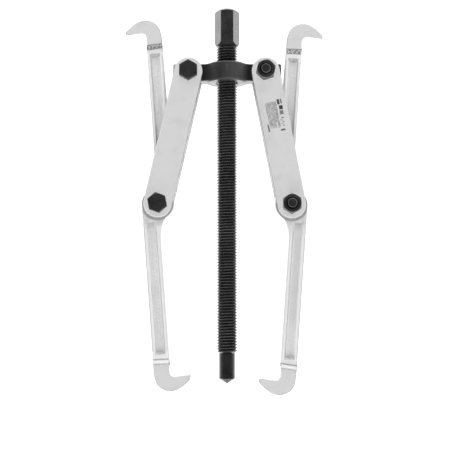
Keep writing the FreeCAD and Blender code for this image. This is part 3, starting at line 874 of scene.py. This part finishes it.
class Graph:
    def __init__(self, name):
        self.mat = bpy.data.materials.new(name)
        self.nt, self.nodes, self.links = nodes_of(self.mat)
        self.out = self.nodes.new("ShaderNodeOutputMaterial")
        self.bsdf = self.nodes.new("ShaderNodeBsdfPrincipled")
        self.links.new(self.bsdf.outputs[0], self.out.inputs[0])

    def put(self, target, value):
        if hasattr(value, "is_output") or hasattr(value, "links"):
            self.links.new(value, target)
        else:
            target.default_value = value

    def node(self, kind, **props):
        n = self.nodes.new(kind)
        for k, v in props.items():
            setattr(n, k, v)
        return n

    def attr(self, name, out="Fac"):
        return self.node("ShaderNodeAttribute", attribute_name=name).outputs[out]

    def math(self, op, a, b=0.0, clamp=False):
        n = self.node("ShaderNodeMath", operation=op, use_clamp=clamp)
        self.put(n.inputs[0], a)
        self.put(n.inputs[1], b)
        return n.outputs[0]

    def mix(self, fac, a, b, blend="MIX"):
        n = self.node("ShaderNodeMix", data_type="RGBA", blend_type=blend)
        self.put(n.inputs[0], fac)
        self.put(n.inputs[6], a)
        self.put(n.inputs[7], b)
        return n.outputs[2]

    def scale(self, vec, by):
        n = self.node("ShaderNodeVectorMath", operation="MULTIPLY")
        self.put(n.inputs[0], vec)
        n.inputs[1].default_value = by
        return n.outputs[0]

    def noise(self, vec, scale, detail=4.0, rough=0.55, distort=0.0):
        n = self.node("ShaderNodeTexNoise")
        self.put(n.inputs["Vector"], vec)
        n.inputs["Scale"].default_value = scale
        n.inputs["Detail"].default_value = detail
        n.inputs["Roughness"].default_value = rough
        n.inputs["Distortion"].default_value = distort
        return n.outputs["Fac"]

    def ramp(self, fac, stops):
        n = self.node("ShaderNodeValToRGB")
        self.put(n.inputs[0], fac)
        e = n.color_ramp.elements
        while len(e) < len(stops):
            e.new(0.5)
        for el, (p, c) in zip(e, stops):
            el.position = p
            el.color = c if len(c) == 4 else (*c, 1)
        return n.outputs[0]

    def span(self, v, a, b, lo=0.0, hi=1.0):
        n = self.node("ShaderNodeMapRange")
        self.put(n.inputs[0], v)
        for k, x in zip((1, 2, 3, 4), (a, b, lo, hi)):
            n.inputs[k].default_value = x
        return n.outputs[0]

    def bump(self, height, strength, distance, before=None):
        n = self.node("ShaderNodeBump")
        n.inputs["Strength"].default_value = strength
        n.inputs["Distance"].default_value = distance
        self.put(n.inputs["Height"], height)
        if before is not None:
            self.links.new(before, n.inputs["Normal"])
        return n.outputs[0]


def g3(v):
    return (v, v, v * 1.006, 1.0)


def painted_jaw_shade_and_pits(g, low, torn):
    """Painted shade along a jaw's edges and creases: a ring under the plates' rims, the channel's start, edges and
    ends, the step's edges and the upper step's slope. It also adds a faint random mottle on the channel floor and, on
    the right jaw, pits on the lower channel's bottom. low is -1 for the left jaw and 1 for the right.
    """
    sep = g.node("ShaderNodeSeparateXYZ")
    g.put(sep.inputs[0], g.scale(g.attr("loc", "Vector"), (1 / MM, 1 / MM, 1 / MM)))
    q, a, w = sep.outputs
    sgn = g.math("SIGN", a)
    qf, af = g.math("MULTIPLY", q, sgn), g.math("ABSOLUTE", a)
    lift = g.math("MULTIPLY", sgn, 1.8 * low)
    wob = g.noise(g.scale(g.attr("loc", "Vector"), (1.0, 1.0, 0.0)), 210.0, 3.0, 0.6)
    wob = g.math("MULTIPLY", g.math("SUBTRACT", wob, 0.5), 1.6)
    slant = g.span(g.math("MULTIPLY", sgn, low), -1.0, 1.0, -0.04, 0.085)
    d = g.math("SUBTRACT", g.math("SUBTRACT", af, lift), g.math("ADD", g.math("MULTIPLY", g.math("SUBTRACT", qf, 7.0), slant), 137.2))
    d = g.math("ADD", d, g.math("MULTIPLY", wob, 0.35))
    end = g.math("SUBTRACT", g.math("SUBTRACT", af, lift), 131.4)

    crumb = g.noise(g.scale(g.attr("loc", "Vector"), (1.0, 1.0, 0.0)), 620.0, 3.0, 0.6)

    def line(v, at, half):
        return g.span(g.math("ABSOLUTE", g.math("SUBTRACT", v, at)), half * 0.45, half, 1.0, 0.0)

    def both(x, y):
        return g.math("MULTIPLY", x, y)

    rad = g.node("ShaderNodeVectorMath", operation="LENGTH")
    g.put(rad.inputs[0], g.scale(g.attr("loc", "Vector"), (1 / MM, 1 / MM, 0.0)))
    near = rad.outputs["Value"]
    on_face = g.span(g.attr("side"), 0.0, 0.35, 1.0, 0.0)
    arm = both(g.span(af, 17.0, 24.0), g.span(end, -1.5, -0.5, 1.0, 0.0))
    wq = g.math("ADD", qf, g.math("MULTIPLY", wob, 0.30))
    cross = both(g.span(qf, 2.2, 3.4), g.span(qf, 10.9, 12.1, 1.0, 0.0))
    upper = g.span(a, -1.0, 1.0, 1.0, 0.0)
    lower = g.math("SUBTRACT", 1.0, upper)
    # painted shade: a ring under the plates' rims, the channel's start, lines along the channel's and arms' edges, the
    # channel's ends, lines at the foot and top of the step, and a crumbly shade on the upper step's slope; the last
    # entry is a faint random mottle on the channel floor
    parts = [
        both(line(g.math("ADD", near, g.math("MULTIPLY", wob, 0.3)), 13.7, 1.6), 0.62),
        both(both(g.span(g.math("ABSOLUTE", g.math("SUBTRACT", af, 14.9)), 1.0, 1.8, 1.0, 0.0), cross), 0.30),
        both(both(line(wq, 3.1, 0.80), arm), 0.42),
        both(both(line(wq, 8.2, 0.55), arm), 0.10),
        both(both(line(wq, 10.7, 0.55), arm), 0.14),
        both(both(line(wq, 0.75, 0.50), arm), 0.16),
        both(both(line(wq, 13.4, 0.60), arm), 0.34),
        both(both(line(g.math("ADD", end, g.math("MULTIPLY", wob, 0.4)), -0.7, 1.9), cross), g.math("ADD", g.math("MULTIPLY", upper, 0.2), g.math("MULTIPLY", torn, 0.8))),
        both(line(d, -0.75, 0.80), both(g.span(torn, 0.25, 0.6, 0.40, 1.0), g.math("ADD", g.math("MULTIPLY", upper, 0.16), 0.66))),
        both(line(d, 3.15, 0.70), both(g.span(torn, 0.3, 0.6, 0.35, 1.0), g.math("ADD", g.math("MULTIPLY", upper, 0.44), 0.42))),
        both(both(line(d, 4.6, 0.5), lower), both(g.span(torn, 0.4, 0.6, 0.0, 1.0), 0.20)),
        both(both(g.span(g.math("ABSOLUTE", g.math("SUBTRACT", d, 1.2)), 1.5, 2.2, 1.0, 0.0), upper), g.span(crumb, 0.43, 0.58, 0.20, 0.92)),
        both(both(both(g.span(qf, 3.6, 4.4), g.span(qf, 10.2, 10.9, 1.0, 0.0)), arm), g.span(crumb, 0.44, 0.62, 0.0, 0.13)),
    ]
    if low > 0:
        # the lower channel's bottom is pitted where the die was rough
        pits = g.noise(g.scale(g.attr("loc", "Vector"), (1.0, 1.0, 0.0)), 1250.0, 4.0, 0.7)
        patch = both(both(g.span(wq, 3.6, 6.0), g.span(wq, 10.2, 11.2, 1.0, 0.0)), both(g.span(af, 20.0, 34.0), g.span(af, 116.0, 96.0)))
        parts.append(both(both(patch, lower), g.span(pits, 0.40, 0.64, 0.02, 0.36)))
    total = parts[0]
    for x in parts[1:]:
        total = g.math("MAXIMUM", total, x)
    return both(total, on_face)


def etched_panel(g, col, seed):
    """A small etched field on a plate: plain bars and rows of short dashes that say nothing."""
    sep = g.node("ShaderNodeSeparateXYZ")
    g.put(sep.inputs[0], g.scale(g.attr("loc", "Vector"), (1 / MM, 1 / MM, 1 / MM)))
    u, v, w = sep.outputs

    def box(x, x0, x1, y, y0, y1):
        e = 0.12
        m = g.math("MULTIPLY", g.span(x, x0 - e, x0 + e), g.span(x, x1 - e, x1 + e, 1.0, 0.0))
        m = g.math("MULTIPLY", m, g.span(y, y0 - e, y0 + e))
        return g.math("MULTIPLY", m, g.span(y, y1 - e, y1 + e, 1.0, 0.0))

    cells = g.node("ShaderNodeTexVoronoi", feature="F1", distance="CHEBYCHEV")
    g.put(cells.inputs["Vector"], g.scale(g.attr("loc", "Vector"), (1100.0, 900.0, 0.0)))
    cells.inputs["Scale"].default_value = 1.0
    tone = g.node("ShaderNodeSeparateXYZ")
    g.put(tone.inputs[0], cells.outputs["Color"])
    rows = g.span(g.math("PINGPONG", u, 0.60), 0.15, 0.35, 0.55, 1.0)
    text = g.math("MULTIPLY", g.span(tone.outputs[0], 0.1, 0.9, 0.26, 0.74), rows)
    return u, v, w, box, text


def plated(name, seed, rough=0.40, base=0.80, grain=(1.0, 1.0, 1.0), forged=False, low=0, panel=None):
    """Satin bright-plated steel: soft mottling in tone and gloss, a fine orange-peel surface, and side walls darkened
    by painted shade over their rough sheared or trimmed texture. On a jaw it adds painted shade along the edges and
    creases and a painted highlight on the lower steps.
    """
    g = Graph(name)
    co = g.node("ShaderNodeTexCoord").outputs["Object"]
    loc = g.attr("loc", "Vector")
    off = g.node("ShaderNodeVectorMath", operation="ADD")
    g.put(off.inputs[0], co)
    off.inputs[1].default_value = (seed * 0.37, seed * 0.11, seed * 0.23)
    v = off.outputs[0]
    cloud = g.noise(v, 42.0, 3.0, 0.5)
    blot = g.noise(v, 130.0, 4.0, 0.6)
    fine = g.noise(v, 900.0, 3.0, 0.6)
    streak = g.noise(g.scale(loc, grain), 520.0, 4.0, 0.6)
    side = g.attr("side")
    tone = g.math("ADD", g.math("MULTIPLY", cloud, 0.55), g.math("MULTIPLY", blot, 0.45))
    col = g.ramp(tone, [(0.36, g3(base * 0.93)), (0.50, g3(base)), (0.64, g3(min(0.97, base * 1.05)))])
    # side walls painted darker as shade, over the rough texture of trimmed flash on a forging and a sheared edge on a
    # pressing
    torn = g.noise(g.scale(v, (1.0, 0.35, 1.0)), 700.0, 4.0, 0.65)
    wall = g.span(side, 0.02, 0.45) if forged else g.span(side, 0.30, 0.80)
    k = 1.0 if forged else 0.6
    wall_shade = g.ramp(torn, [(0.30, g3(base * 0.14 * k)), (0.55, g3(base * 0.26 * k)), (0.75, g3(base * 0.42 * k))])
    if forged:
        jq = g.node("ShaderNodeSeparateXYZ")
        g.put(jq.inputs[0], g.scale(loc, (1 / MM, 1 / MM, 1 / MM)))
        qs = g.math("MULTIPLY", jq.outputs[0], g.math("SIGN", jq.outputs[1]))
        # the hooks' throat walls are left without the painted shade
        throat = g.math("MULTIPLY", g.span(qs, 0.6, 1.2, 1.0, 0.0), g.span(g.math("ABSOLUTE", jq.outputs[1]), 139.0, 141.0))
        throat = g.math("MULTIPLY", throat, g.span(g.math("ABSOLUTE", jq.outputs[1]), 152.6, 153.4, 1.0, 0.0))
        wall = g.math("MULTIPLY", wall, g.math("SUBTRACT", 1.0, throat))
        # on a jaw the walls' painted shade is darker still, except towards the upper hook
        wall_shade = g.mix(g.span(jq.outputs[1], -112.0, -96.0, 0.0, 0.75), wall_shade, g3(base * 0.05))
    col = g.mix(g.math("MULTIPLY", wall, 0.85 if forged else 0.75), col, wall_shade)
    if forged:
        web = g.math("MULTIPLY", g.span(qs, 3.2, 4.2), g.span(qs, 10.4, 11.4, 1.0, 0.0))
        web = g.math("MULTIPLY", web, g.span(g.math("ABSOLUTE", jq.outputs[1]), 134.0, 130.0))
        flange = g.math("MULTIPLY", g.math("SUBTRACT", 1.0, web), g.span(g.math("ABSOLUTE", jq.outputs[1]), 139.0, 135.0))
        col = g.mix(g.math("MULTIPLY", flange, 0.6), col, g3(1.0), blend="SCREEN")
        # painted shade along the jaw's edges and creases, plus mottle and pits
        col = g.mix(painted_jaw_shade_and_pits(g, low, torn), col, g3(base * 0.12))
    if panel:
        u, v2, w, box, text = etched_panel(g, col, seed)
        ink = None
        for x0, x1, y0, y1, k in panel:
            m = box(u, x0, x1, v2, y0, y1)
            m = g.math("MULTIPLY", m, text if k is None else k)
            ink = m if ink is None else g.math("MAXIMUM", ink, m)
        ink = g.math("MULTIPLY", ink, g.span(w, -2.3, -2.0, 1.0, 0.0))
        col = g.mix(ink, col, g3(0.05))
    g.put(g.bsdf.inputs["Base Color"], col)
    g.bsdf.inputs["Metallic"].default_value = 0.35
    if forged:
        # the lower steps' slope is made non-metallic so it reads white in the light from below: a painted highlight
        sl = 0.085 if low > 0 else -0.04
        at = g.math("SUBTRACT", jq.outputs[1], g.math("MULTIPLY", qs, sl))
        mid = 137.2 + 1.8 * low - 7.0 * sl + 1.25
        lit_lower_step = g.span(g.math("ABSOLUTE", g.math("SUBTRACT", at, mid)), 1.0, 1.7, 1.0, 0.0)
        # and the arms between the hooks and the boss are duller than the rubbed ends
        shank = g.math("MULTIPLY", g.span(g.math("ABSOLUTE", jq.outputs[1]), 15.0, 22.0), g.span(g.math("ABSOLUTE", jq.outputs[1]), 138.0, 133.0))
        metal = g.math("SUBTRACT", 0.35, g.math("MULTIPLY", shank, 0.22))
        g.put(g.bsdf.inputs["Metallic"], g.math("MULTIPLY", g.math("SUBTRACT", 1.0, lit_lower_step), metal))
    r = g.math("ADD", g.span(blot, 0.3, 0.7, rough - 0.05, rough + 0.05), g.math("MULTIPLY", wall, 0.10))
    g.put(g.bsdf.inputs["Roughness"], r)
    h = g.math("ADD", g.math("MULTIPLY", fine, 0.35), g.math("MULTIPLY", streak, 0.25))
    h = g.math("ADD", h, g.math("MULTIPLY", blot, 1.2 if forged else 0.45))
    h = g.math("ADD", h, g.math("MULTIPLY", g.math("MULTIPLY", torn, wall), 1.2))
    n = g.bump(h, 0.35, 0.00008 if forged else 0.00005)
    g.links.new(n, g.bsdf.inputs["Normal"])
    return g


def black_oxide(name, seed, base=0.028, rough=0.30, worn=0.0, ior=1.9, pits=0.5, crest=None, ends=None, fastener=False):
    """Oiled black oxide over steel: near-black with a soft oily gloss, tiny bright specks where the finish is rubbed;
    the options add painted shade and painted highlights.
    """
    g = Graph(name)
    co = g.node("ShaderNodeTexCoord").outputs["Object"]
    off = g.node("ShaderNodeVectorMath", operation="ADD")
    g.put(off.inputs[0], co)
    off.inputs[1].default_value = (seed * 0.29, seed * 0.17, seed * 0.31)
    v = off.outputs[0]
    cloud = g.noise(v, 90.0, 4.0, 0.6)
    fine = g.noise(v, 1100.0, 4.0, 0.65)
    speck = g.noise(v, 2600.0, 2.0, 0.5)
    col = g.ramp(cloud, [(0.35, g3(base * 0.75)), (0.65, g3(base * 1.35))])
    # rubbed specks, more of them on proud edges
    geo = g.node("ShaderNodeNewGeometry")
    edge = g.span(geo.outputs["Pointiness"], 0.51, 0.60)
    wear_and_highlight = g.math("MULTIPLY", g.span(speck, 0.66, 0.74), g.math("ADD", g.math("MULTIPLY", edge, 0.9), worn))
    wear_and_highlight = g.math("MINIMUM", wear_and_highlight, 1.0)
    if crest:
        # a thread's crests painted bright: rubbed by the yoke, with a painted highlight along them
        flat = g.scale(g.attr("loc", "Vector"), (1.0, 1.0, 0.0))
        ln = g.node("ShaderNodeVectorMath", operation="LENGTH")
        g.put(ln.inputs[0], flat)
        on = g.span(ln.outputs["Value"], (crest - 0.03) * MM, (crest + 0.02) * MM)
        band = g.noise(g.scale(co, (1.0, 1.0, 2.0)), 60.0, 3.0, 0.6)
        hz = g.node("ShaderNodeSeparateXYZ")
        g.put(hz.inputs[0], co)
        thread = g.span(hz.outputs[2], (YOKE_Z + 22.0) * MM, (YOKE_Z + 24.0) * MM, 1.0, 0.0)
        on = g.math("MULTIPLY", on, thread)
        # surfaces above the thread that face downwards, dulled below as painted shade
        hl = g.node("ShaderNodeNewGeometry")
        hn = g.node("ShaderNodeSeparateXYZ")
        g.put(hn.inputs[0], hl.outputs["True Normal"])
        cone = g.math("MULTIPLY", g.span(hn.outputs[2], -0.25, -0.40), g.math("SUBTRACT", 1.0, thread))
        wear_and_highlight = g.math("MAXIMUM", wear_and_highlight, g.math("MULTIPLY", on, g.span(band, 0.35, 0.70, 0.10, 0.45)))
    if ends:
        # one end of the bar is painted light grey
        sx = g.node("ShaderNodeSeparateXYZ")
        g.put(sx.inputs[0], co)
        light_end = g.span(g.math("ADD", sx.outputs[0], g.math("MULTIPLY", cloud, 0.0012)), (ends - 0.2) * MM, (ends + 1.0) * MM, 1.0, 0.0)
        # painted shade on the arms towards the plates, painted light on the hub right of its middle, and a short
        # painted highlight streak at the hub's middle
        near = g.span(g.math("ABSOLUTE", g.math("ADD", sx.outputs[0], 0.001)), 14.5 * MM, 19.5 * MM)
        col = g.mix(near, g.mix(g.span(sx.outputs[0], -6 * MM, 4 * MM), col, g3(base * 2.4)), g3(base * 0.45))
        hub_highlight_streak = g.math("MULTIPLY", g.span(g.math("ABSOLUTE", g.math("ADD", sx.outputs[0], g.math("SUBTRACT", g.math("MULTIPLY", cloud, 0.0010), 0.0005))), 0.5 * MM, 1.3 * MM, 1.0, 0.0), g.span(g.math("ABSOLUTE", g.math("SUBTRACT", sx.outputs[2], (YOKE_Z + 2.0) * MM)), 3.0 * MM, 4.6 * MM, 1.0, 0.0))
        wear_and_highlight = g.math("MAXIMUM", wear_and_highlight, g.math("MULTIPLY", hub_highlight_streak, g.span(fine, 0.35, 0.65, 0.02, 0.10)))
        col = g.mix(light_end, col, g3(0.58))
    countersink_shade = None
    if fastener:
        sp = g.node("ShaderNodeSeparateXYZ")
        g.put(sp.inputs[0], g.scale(g.attr("loc", "Vector"), (1 / MM, 1 / MM, 1 / MM)))
        ln = g.node("ShaderNodeVectorMath", operation="LENGTH")
        g.put(ln.inputs[0], g.scale(g.attr("loc", "Vector"), (1 / MM, 1 / MM, 0.0)))
        r, z = ln.outputs["Value"], sp.outputs[2]
        # painted shade: the chamfer and countersink round the thread's end painted near-black and made dull; and a
        # painted highlight on the turned ring inside them
        ends_z = g.math("MAXIMUM", g.span(z, 7.3, 7.5), g.span(z, -33.5, -33.2, 1.0, 0.0))
        countersink_shade = g.math("MULTIPLY", ends_z, g.math("MULTIPLY", g.span(r, 4.02, 4.12), g.span(r, 5.30, 5.50, 1.0, 0.0)))
        ring = g.math("MULTIPLY", g.span(z, -34.8, -34.6, 1.0, 0.0), g.math("MULTIPLY", g.span(r, 3.40, 3.58), g.span(r, 4.00, 4.08, 1.0, 0.0)))
        wear_and_highlight = g.math("MAXIMUM", wear_and_highlight, g.math("MULTIPLY", ring, g.span(cloud, 0.35, 0.65, 0.30, 0.95)))
        # painted highlights along the nuts' top chamfer edges and the lower edges of the nuts and bolt heads
        rim = g.math("ABSOLUTE", g.math("SUBTRACT", g.math("ADD", z, g.math("MULTIPLY", g.math("SUBTRACT", r, 7.45), 0.466)), 8.35))
        rim = g.math("MULTIPLY", g.span(rim, 0.12, 0.30, 1.0, 0.0), g.span(r, 7.75, 7.9))
        foot = g.math("MULTIPLY", g.math("MULTIPLY", g.span(z, 1.1, 1.5, 1.0, 0.0), g.span(z, 0.1, 0.3)), g.span(r, 7.5, 7.7))
        rim = g.math("MULTIPLY", g.math("MAXIMUM", rim, foot), g.span(fine, 0.30, 0.60, 0.30, 0.90))
        wear_and_highlight = g.math("MAXIMUM", wear_and_highlight, rim)
        # painted shade in the chamfers and countersinks
        col = g.mix(countersink_shade, col, g3(0.002))
    # bright metal at the rubbed specks and at the painted highlights gathered above
    col = g.mix(wear_and_highlight, col, g3(0.42))
    g.put(g.bsdf.inputs["Base Color"], col)
    g.put(g.bsdf.inputs["Metallic"], g.math("MULTIPLY", wear_and_highlight, 0.9))
    if crest:
        # the thread is duller than the ground hexagon above it, and the hexagon's downward-facing surfaces are dulled
        # as painted shade
        g.put(g.bsdf.inputs["IOR"], g.span(g.math("MAXIMUM", thread, cone), 0.0, 1.0, ior + 0.06, 1.30))
    elif countersink_shade is not None:
        g.put(g.bsdf.inputs["IOR"], g.span(countersink_shade, 0.0, 1.0, ior, 1.08))
    else:
        g.bsdf.inputs["IOR"].default_value = ior
    g.put(g.bsdf.inputs["Roughness"], g.span(cloud, 0.3, 0.7, rough - 0.05, rough + 0.08))
    h = g.math("ADD", g.math("MULTIPLY", fine, pits), g.math("MULTIPLY", cloud, 0.6))
    n = g.bump(h, 0.30, 0.00006)
    g.links.new(n, g.bsdf.inputs["Normal"])
    return g


def bright_steel(name, base, rough):
    g = Graph(name)
    co = g.node("ShaderNodeTexCoord").outputs["Object"]
    fine = g.noise(co, 1500.0, 3.0, 0.6)
    cloud = g.noise(co, 200.0, 3.0, 0.5)
    g.put(g.bsdf.inputs["Base Color"], g.ramp(cloud, [(0.3, g3(base * 0.85)), (0.7, g3(base))]))
    g.bsdf.inputs["Metallic"].default_value = 1.0
    g.put(g.bsdf.inputs["Roughness"], g.span(fine, 0.3, 0.7, rough * 0.8, rough * 1.3))
    g.links.new(g.bump(fine, 0.15, 0.00003), g.bsdf.inputs["Normal"])
    return g


# ------------------------------------------------------------------ build the pieces
yoke_mat = black_oxide("yoke_black_oxide", 3, base=0.024, rough=0.34, pits=0.5, ior=1.5, ends=-45.0).mat
screw_mat = black_oxide("screw_black_oxide", 7, base=0.019, rough=0.28, worn=0.03, ior=1.9, pits=0.0, crest=8.93).mat
tip_mat = black_oxide("tip_black_oxide", 11, base=0.015, rough=0.28, worn=0.08, ior=1.42, pits=0.3).mat
bolt_mat = black_oxide("fastener_black_oxide", 5, base=0.024, rough=0.34, pits=0.7, ior=1.5, worn=0.05, fastener=True).mat


def finish_piece(ob, mat, body, node, slot):
    ob.data.materials.clear()
    ob.data.materials.append(mat)
    w = ob.modifiers.new("weighted", "WEIGHTED_NORMAL")
    w.keep_sharp = True
    w.weight = 60
    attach(ob, body)
    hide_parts(node)
    if slot == "fastener_black_oxide":
        ob.visible_diffuse = False
    return ob


finish_piece(make_yoke(), yoke_mat, "yoke", "yoke", "yoke_black_oxide")
finish_piece(make_screw(), screw_mat, "forcing_screw", "forcing_screw", "screw_black_oxide")
finish_piece(make_tip(), tip_mat, "pressure_tip", "pressure_tip", "tip_black_oxide")

# etched field: (u0, u1, v0, v1, strength); None fills the box with dashes
PANEL = [
    (-6.4, 3.6, 28.3, 40.5, None), (-5.9, 3.2, 40.5, 47.0, None), (-5.6, 0.4, 47.0, 51.6, None), (1.6, 3.4, 47.0, 52.0, None),
    (4.3, 6.4, 26.9, 31.6, 0.95), (7.2, 8.4, 27.0, 31.2, 0.80), (5.2, 8.4, 32.6, 36.2, 0.97), (5.0, 8.2, 37.0, 40.8, 0.72),
    (5.4, 7.6, 43.2, 44.2, 0.78), (5.6, 7.5, 47.0, 48.0, 0.60), (5.5, 7.4, 50.2, 51.1, 0.55), (3.2, 7.0, 53.6, 55.0, 0.92),
    (4.2, 6.6, 44.9, 46.3, 0.30), (4.2, 6.4, 48.6, 49.6, 0.28), (-7.8, -6.4, 47.6, 54.2, 0.80),
]
TURNS = {
    ("left", "yoke"): 0.0, ("left", "jaw"): -10.0, ("right", "yoke"): 12.0, ("right", "jaw"): 0.0,
}
for k, side in enumerate(("left", "right")):
    mat = plated(side + "_jaw_plated", 2 + 5 * k, rough=0.42, base=0.96, grain=(1.0, 0.25, 1.0), forged=True, low=-1 if side == "left" else 1).mat
    finish_piece(make_jaw(side), mat, side + "_jaw", side + "_jaw", "jaw_plated_steel")
    for i, face in enumerate(("front", "rear")):
        panel = PANEL if (side, face) == ("right", "front") else None
        mat = plated("%s_link_%s_plated" % (side, face), 20 + 3 * k + i, rough=0.42, base=0.96, grain=(1.0, 0.12, 1.0), panel=panel).mat
        node = "%s_link_plate_%s" % (side, face)
        finish_piece(make_plate(side, face), mat, side + "_link", node, "link_plated_steel")
    for where in ("yoke", "jaw"):
        p = TOP[side] if where == "yoke" else PIVOT[side]
        t = TURNS[(side, where)]
        heads_front = side == "left"
        bm = axis_matrix(side, p, -12.6 if heads_front else 12.6, heads_front, t if heads_front else t + 23)
        nm = axis_matrix(side, p, 12.6 if heads_front else -12.6, not heads_front, t + 17 if heads_front else t)
        bn, nn = "%s_%s_bolt" % (side, where), "%s_%s_nut" % (side, where)
        finish_piece(make_bolt(bn + "_threaded", bm), bolt_mat, side + "_link", bn, "fastener_black_oxide")
        finish_piece(make_nut(nn + "_turned", nm), bolt_mat, side + "_link", nn, "fastener_black_oxide")

# the two hidden pieces inside the screw stay as the CAD solids
for node, g in (
    ("thrust_ball", bright_steel("ball_polished", 0.75, 0.08)),
    ("tip_retaining_ring", bright_steel("ring_spring_steel", 0.30, 0.35)),
):
    ob = frame["nodes"][node]
    ob.data.materials.clear()
    ob.data.materials.append(g.mat)


# ------------------------------------------------------------------ studio
# Soft light from all round: bright at the sides, behind and below, with the darker space the camera stands in ahead.
world = bpy.data.worlds.new("studio")
bpy.context.scene.world = world
world.use_nodes = True
wt = world.node_tree
wt.nodes.clear()
wout = wt.nodes.new("ShaderNodeOutputWorld")
bg = wt.nodes.new("ShaderNodeBackground")
geo = wt.nodes.new("ShaderNodeNewGeometry")
path = wt.nodes.new("ShaderNodeLightPath")
sep = wt.nodes.new("ShaderNodeSeparateXYZ")
# the light tent stands with the camera, so it turns with it
turn = wt.nodes.new("ShaderNodeMapping")
turn.vector_type = "TEXTURE"
wt.links.new(wt.nodes.new("ShaderNodeTexCoord").outputs["Generated"], turn.inputs["Vector"])
wt.links.new(turn.outputs[0], sep.inputs[0])


def wmath(op, a, b=0.0, clamp=False):
    n = wt.nodes.new("ShaderNodeMath")
    n.operation, n.use_clamp = op, clamp
    for i, x in enumerate((a, b)):
        if hasattr(x, "links"):
            wt.links.new(x, n.inputs[i])
        else:
            n.inputs[i].default_value = x
    return n.outputs[0]


def wspan(v, a, b, lo, hi):
    n = wt.nodes.new("ShaderNodeMapRange")
    n.interpolation_type = "SMOOTHSTEP"
    wt.links.new(v, n.inputs[0])
    for k, x in zip((1, 2, 3, 4), (a, b, lo, hi)):
        n.inputs[k].default_value = x
    return n.outputs[0]


dx, dy, dz = sep.outputs
front = wmath("MULTIPLY", dy, -1.0)                       # 1 towards the camera's side, -1 behind the tool
# a level band, dark ahead and brighter round to the sides and behind
ramp = wt.nodes.new("ShaderNodeValToRGB")
wt.links.new(wmath("MULTIPLY", wmath("ADD", front, 1.0), 0.5), ramp.inputs[0])
stops = [(0.0, 0.6), (0.10, 1.2), (0.25, 2.8), (0.42, 1.2), (0.60, 0.60), (0.80, 0.12), (1.0, 0.06)]
els = ramp.color_ramp.elements
while len(els) < len(stops):
    els.new(0.5)
for el, (pos, v) in zip(els, stops):
    el.position = pos
    el.color = (v / 3, v / 3, v / 3, 1)
level = wmath("MULTIPLY", ramp.outputs[0], 3.0)
# soft light from above and below
up = wspan(front, -0.6, 0.5, 1.8, 1.65)
# seen in the metal, the space below and ahead is dimmer than the light it throws
shiny = path.outputs["Is Glossy Ray"]
down = wmath("ADD", wmath("MULTIPLY", wspan(front, -0.6, 0.5, 2.2, 1.95), wmath("SUBTRACT", 1.0, shiny)), wmath("MULTIPLY", wspan(front, -0.6, 0.5, 2.2, 0.5), shiny))
below = wspan(dz, -0.1, 0.1, 1.0, 0.0)
caps = wmath("ADD", wmath("MULTIPLY", up, wmath("SUBTRACT", 1.0, below)), wmath("MULTIPLY", down, below))
band = wspan(wmath("ABSOLUTE", wmath("SUBTRACT", dz, 0.17)), 0.32, 0.56, 1.0, 0.0)
light = wmath("ADD", wmath("MULTIPLY", level, band), wmath("MULTIPLY", caps, wmath("SUBTRACT", 1.0, band)))
# a bright strip low down behind
strip = wmath("MULTIPLY", wspan(front, -0.9, -0.8, 1.0, 0.0), wmath("MULTIPLY", wspan(dz, -0.40, -0.33, 0.0, 1.0), wspan(dz, -0.12, -0.05, 1.0, 0.0)))
light = wmath("ADD", light, wmath("MULTIPLY", strip, 2.2))
cam_ray = path.outputs["Is Camera Ray"]
lum = wmath("ADD", wmath("MULTIPLY", light, wmath("SUBTRACT", 1.0, cam_ray)), wmath("MULTIPLY", cam_ray, 1.3))
bg.inputs["Color"].default_value = (1, 1, 1, 1)
wt.links.new(lum, bg.inputs["Strength"])
wt.links.new(bg.outputs[0], wout.inputs[0])

# plain pale floor
lowest = cad_box[0][2]
me = bpy.data.meshes.new("studio_floor")
S, F = 6.0, lowest - 0.0015
me.from_pydata([(-S, -S, F), (S, -S, F), (S, S, F), (-S, S, F)], [], [(0, 1, 2, 3)])
floor = bpy.data.objects.new("studio_floor", me)
bpy.context.scene.collection.objects.link(floor)
fg = Graph("studio_floor")
fg.nodes.remove(fg.bsdf)
em = fg.node("ShaderNodeEmission")
em.inputs["Strength"].default_value = 1.3
fg.links.new(em.outputs[0], fg.out.inputs[0])
floor.data.materials.append(fg.mat)
floor.visible_diffuse = False
floor.visible_glossy = False
floor.visible_shadow = False

# camera: just below the middle of the tool, looking slightly up
cam = bpy.data.cameras.new("camera")
cam.sensor_width, cam.lens = 36.0, 36.0 * 1107.0 / 455.0
cam.clip_start, cam.clip_end = 0.01, 50
camera = bpy.data.objects.new("camera", cam)
bpy.context.scene.collection.objects.link(camera)
target = Vector((0.0004, 0.0, (YOKE_Z - 137.06) * MM))
pitch = math.radians(6.0)
camera.location = target + 0.970 * Vector((0, -math.cos(pitch), -math.sin(pitch)))
camera.rotation_euler = (math.radians(90) + pitch, 0, 0)
bpy.context.scene.camera = camera
drv = turn.inputs["Rotation"].driver_add("default_value", 2).driver
drv.type = "AVERAGE"
var = drv.variables.new()
var.type = "TRANSFORMS"
var.targets[0].id = camera
var.targets[0].transform_type = "ROT_Z"
var.targets[0].transform_space = "WORLD_SPACE"
var.targets[0].rotation_mode = "XYZ"
bpy.context.scene.view_settings.view_transform = "Standard"
bpy.context.scene.view_settings.look = "None"
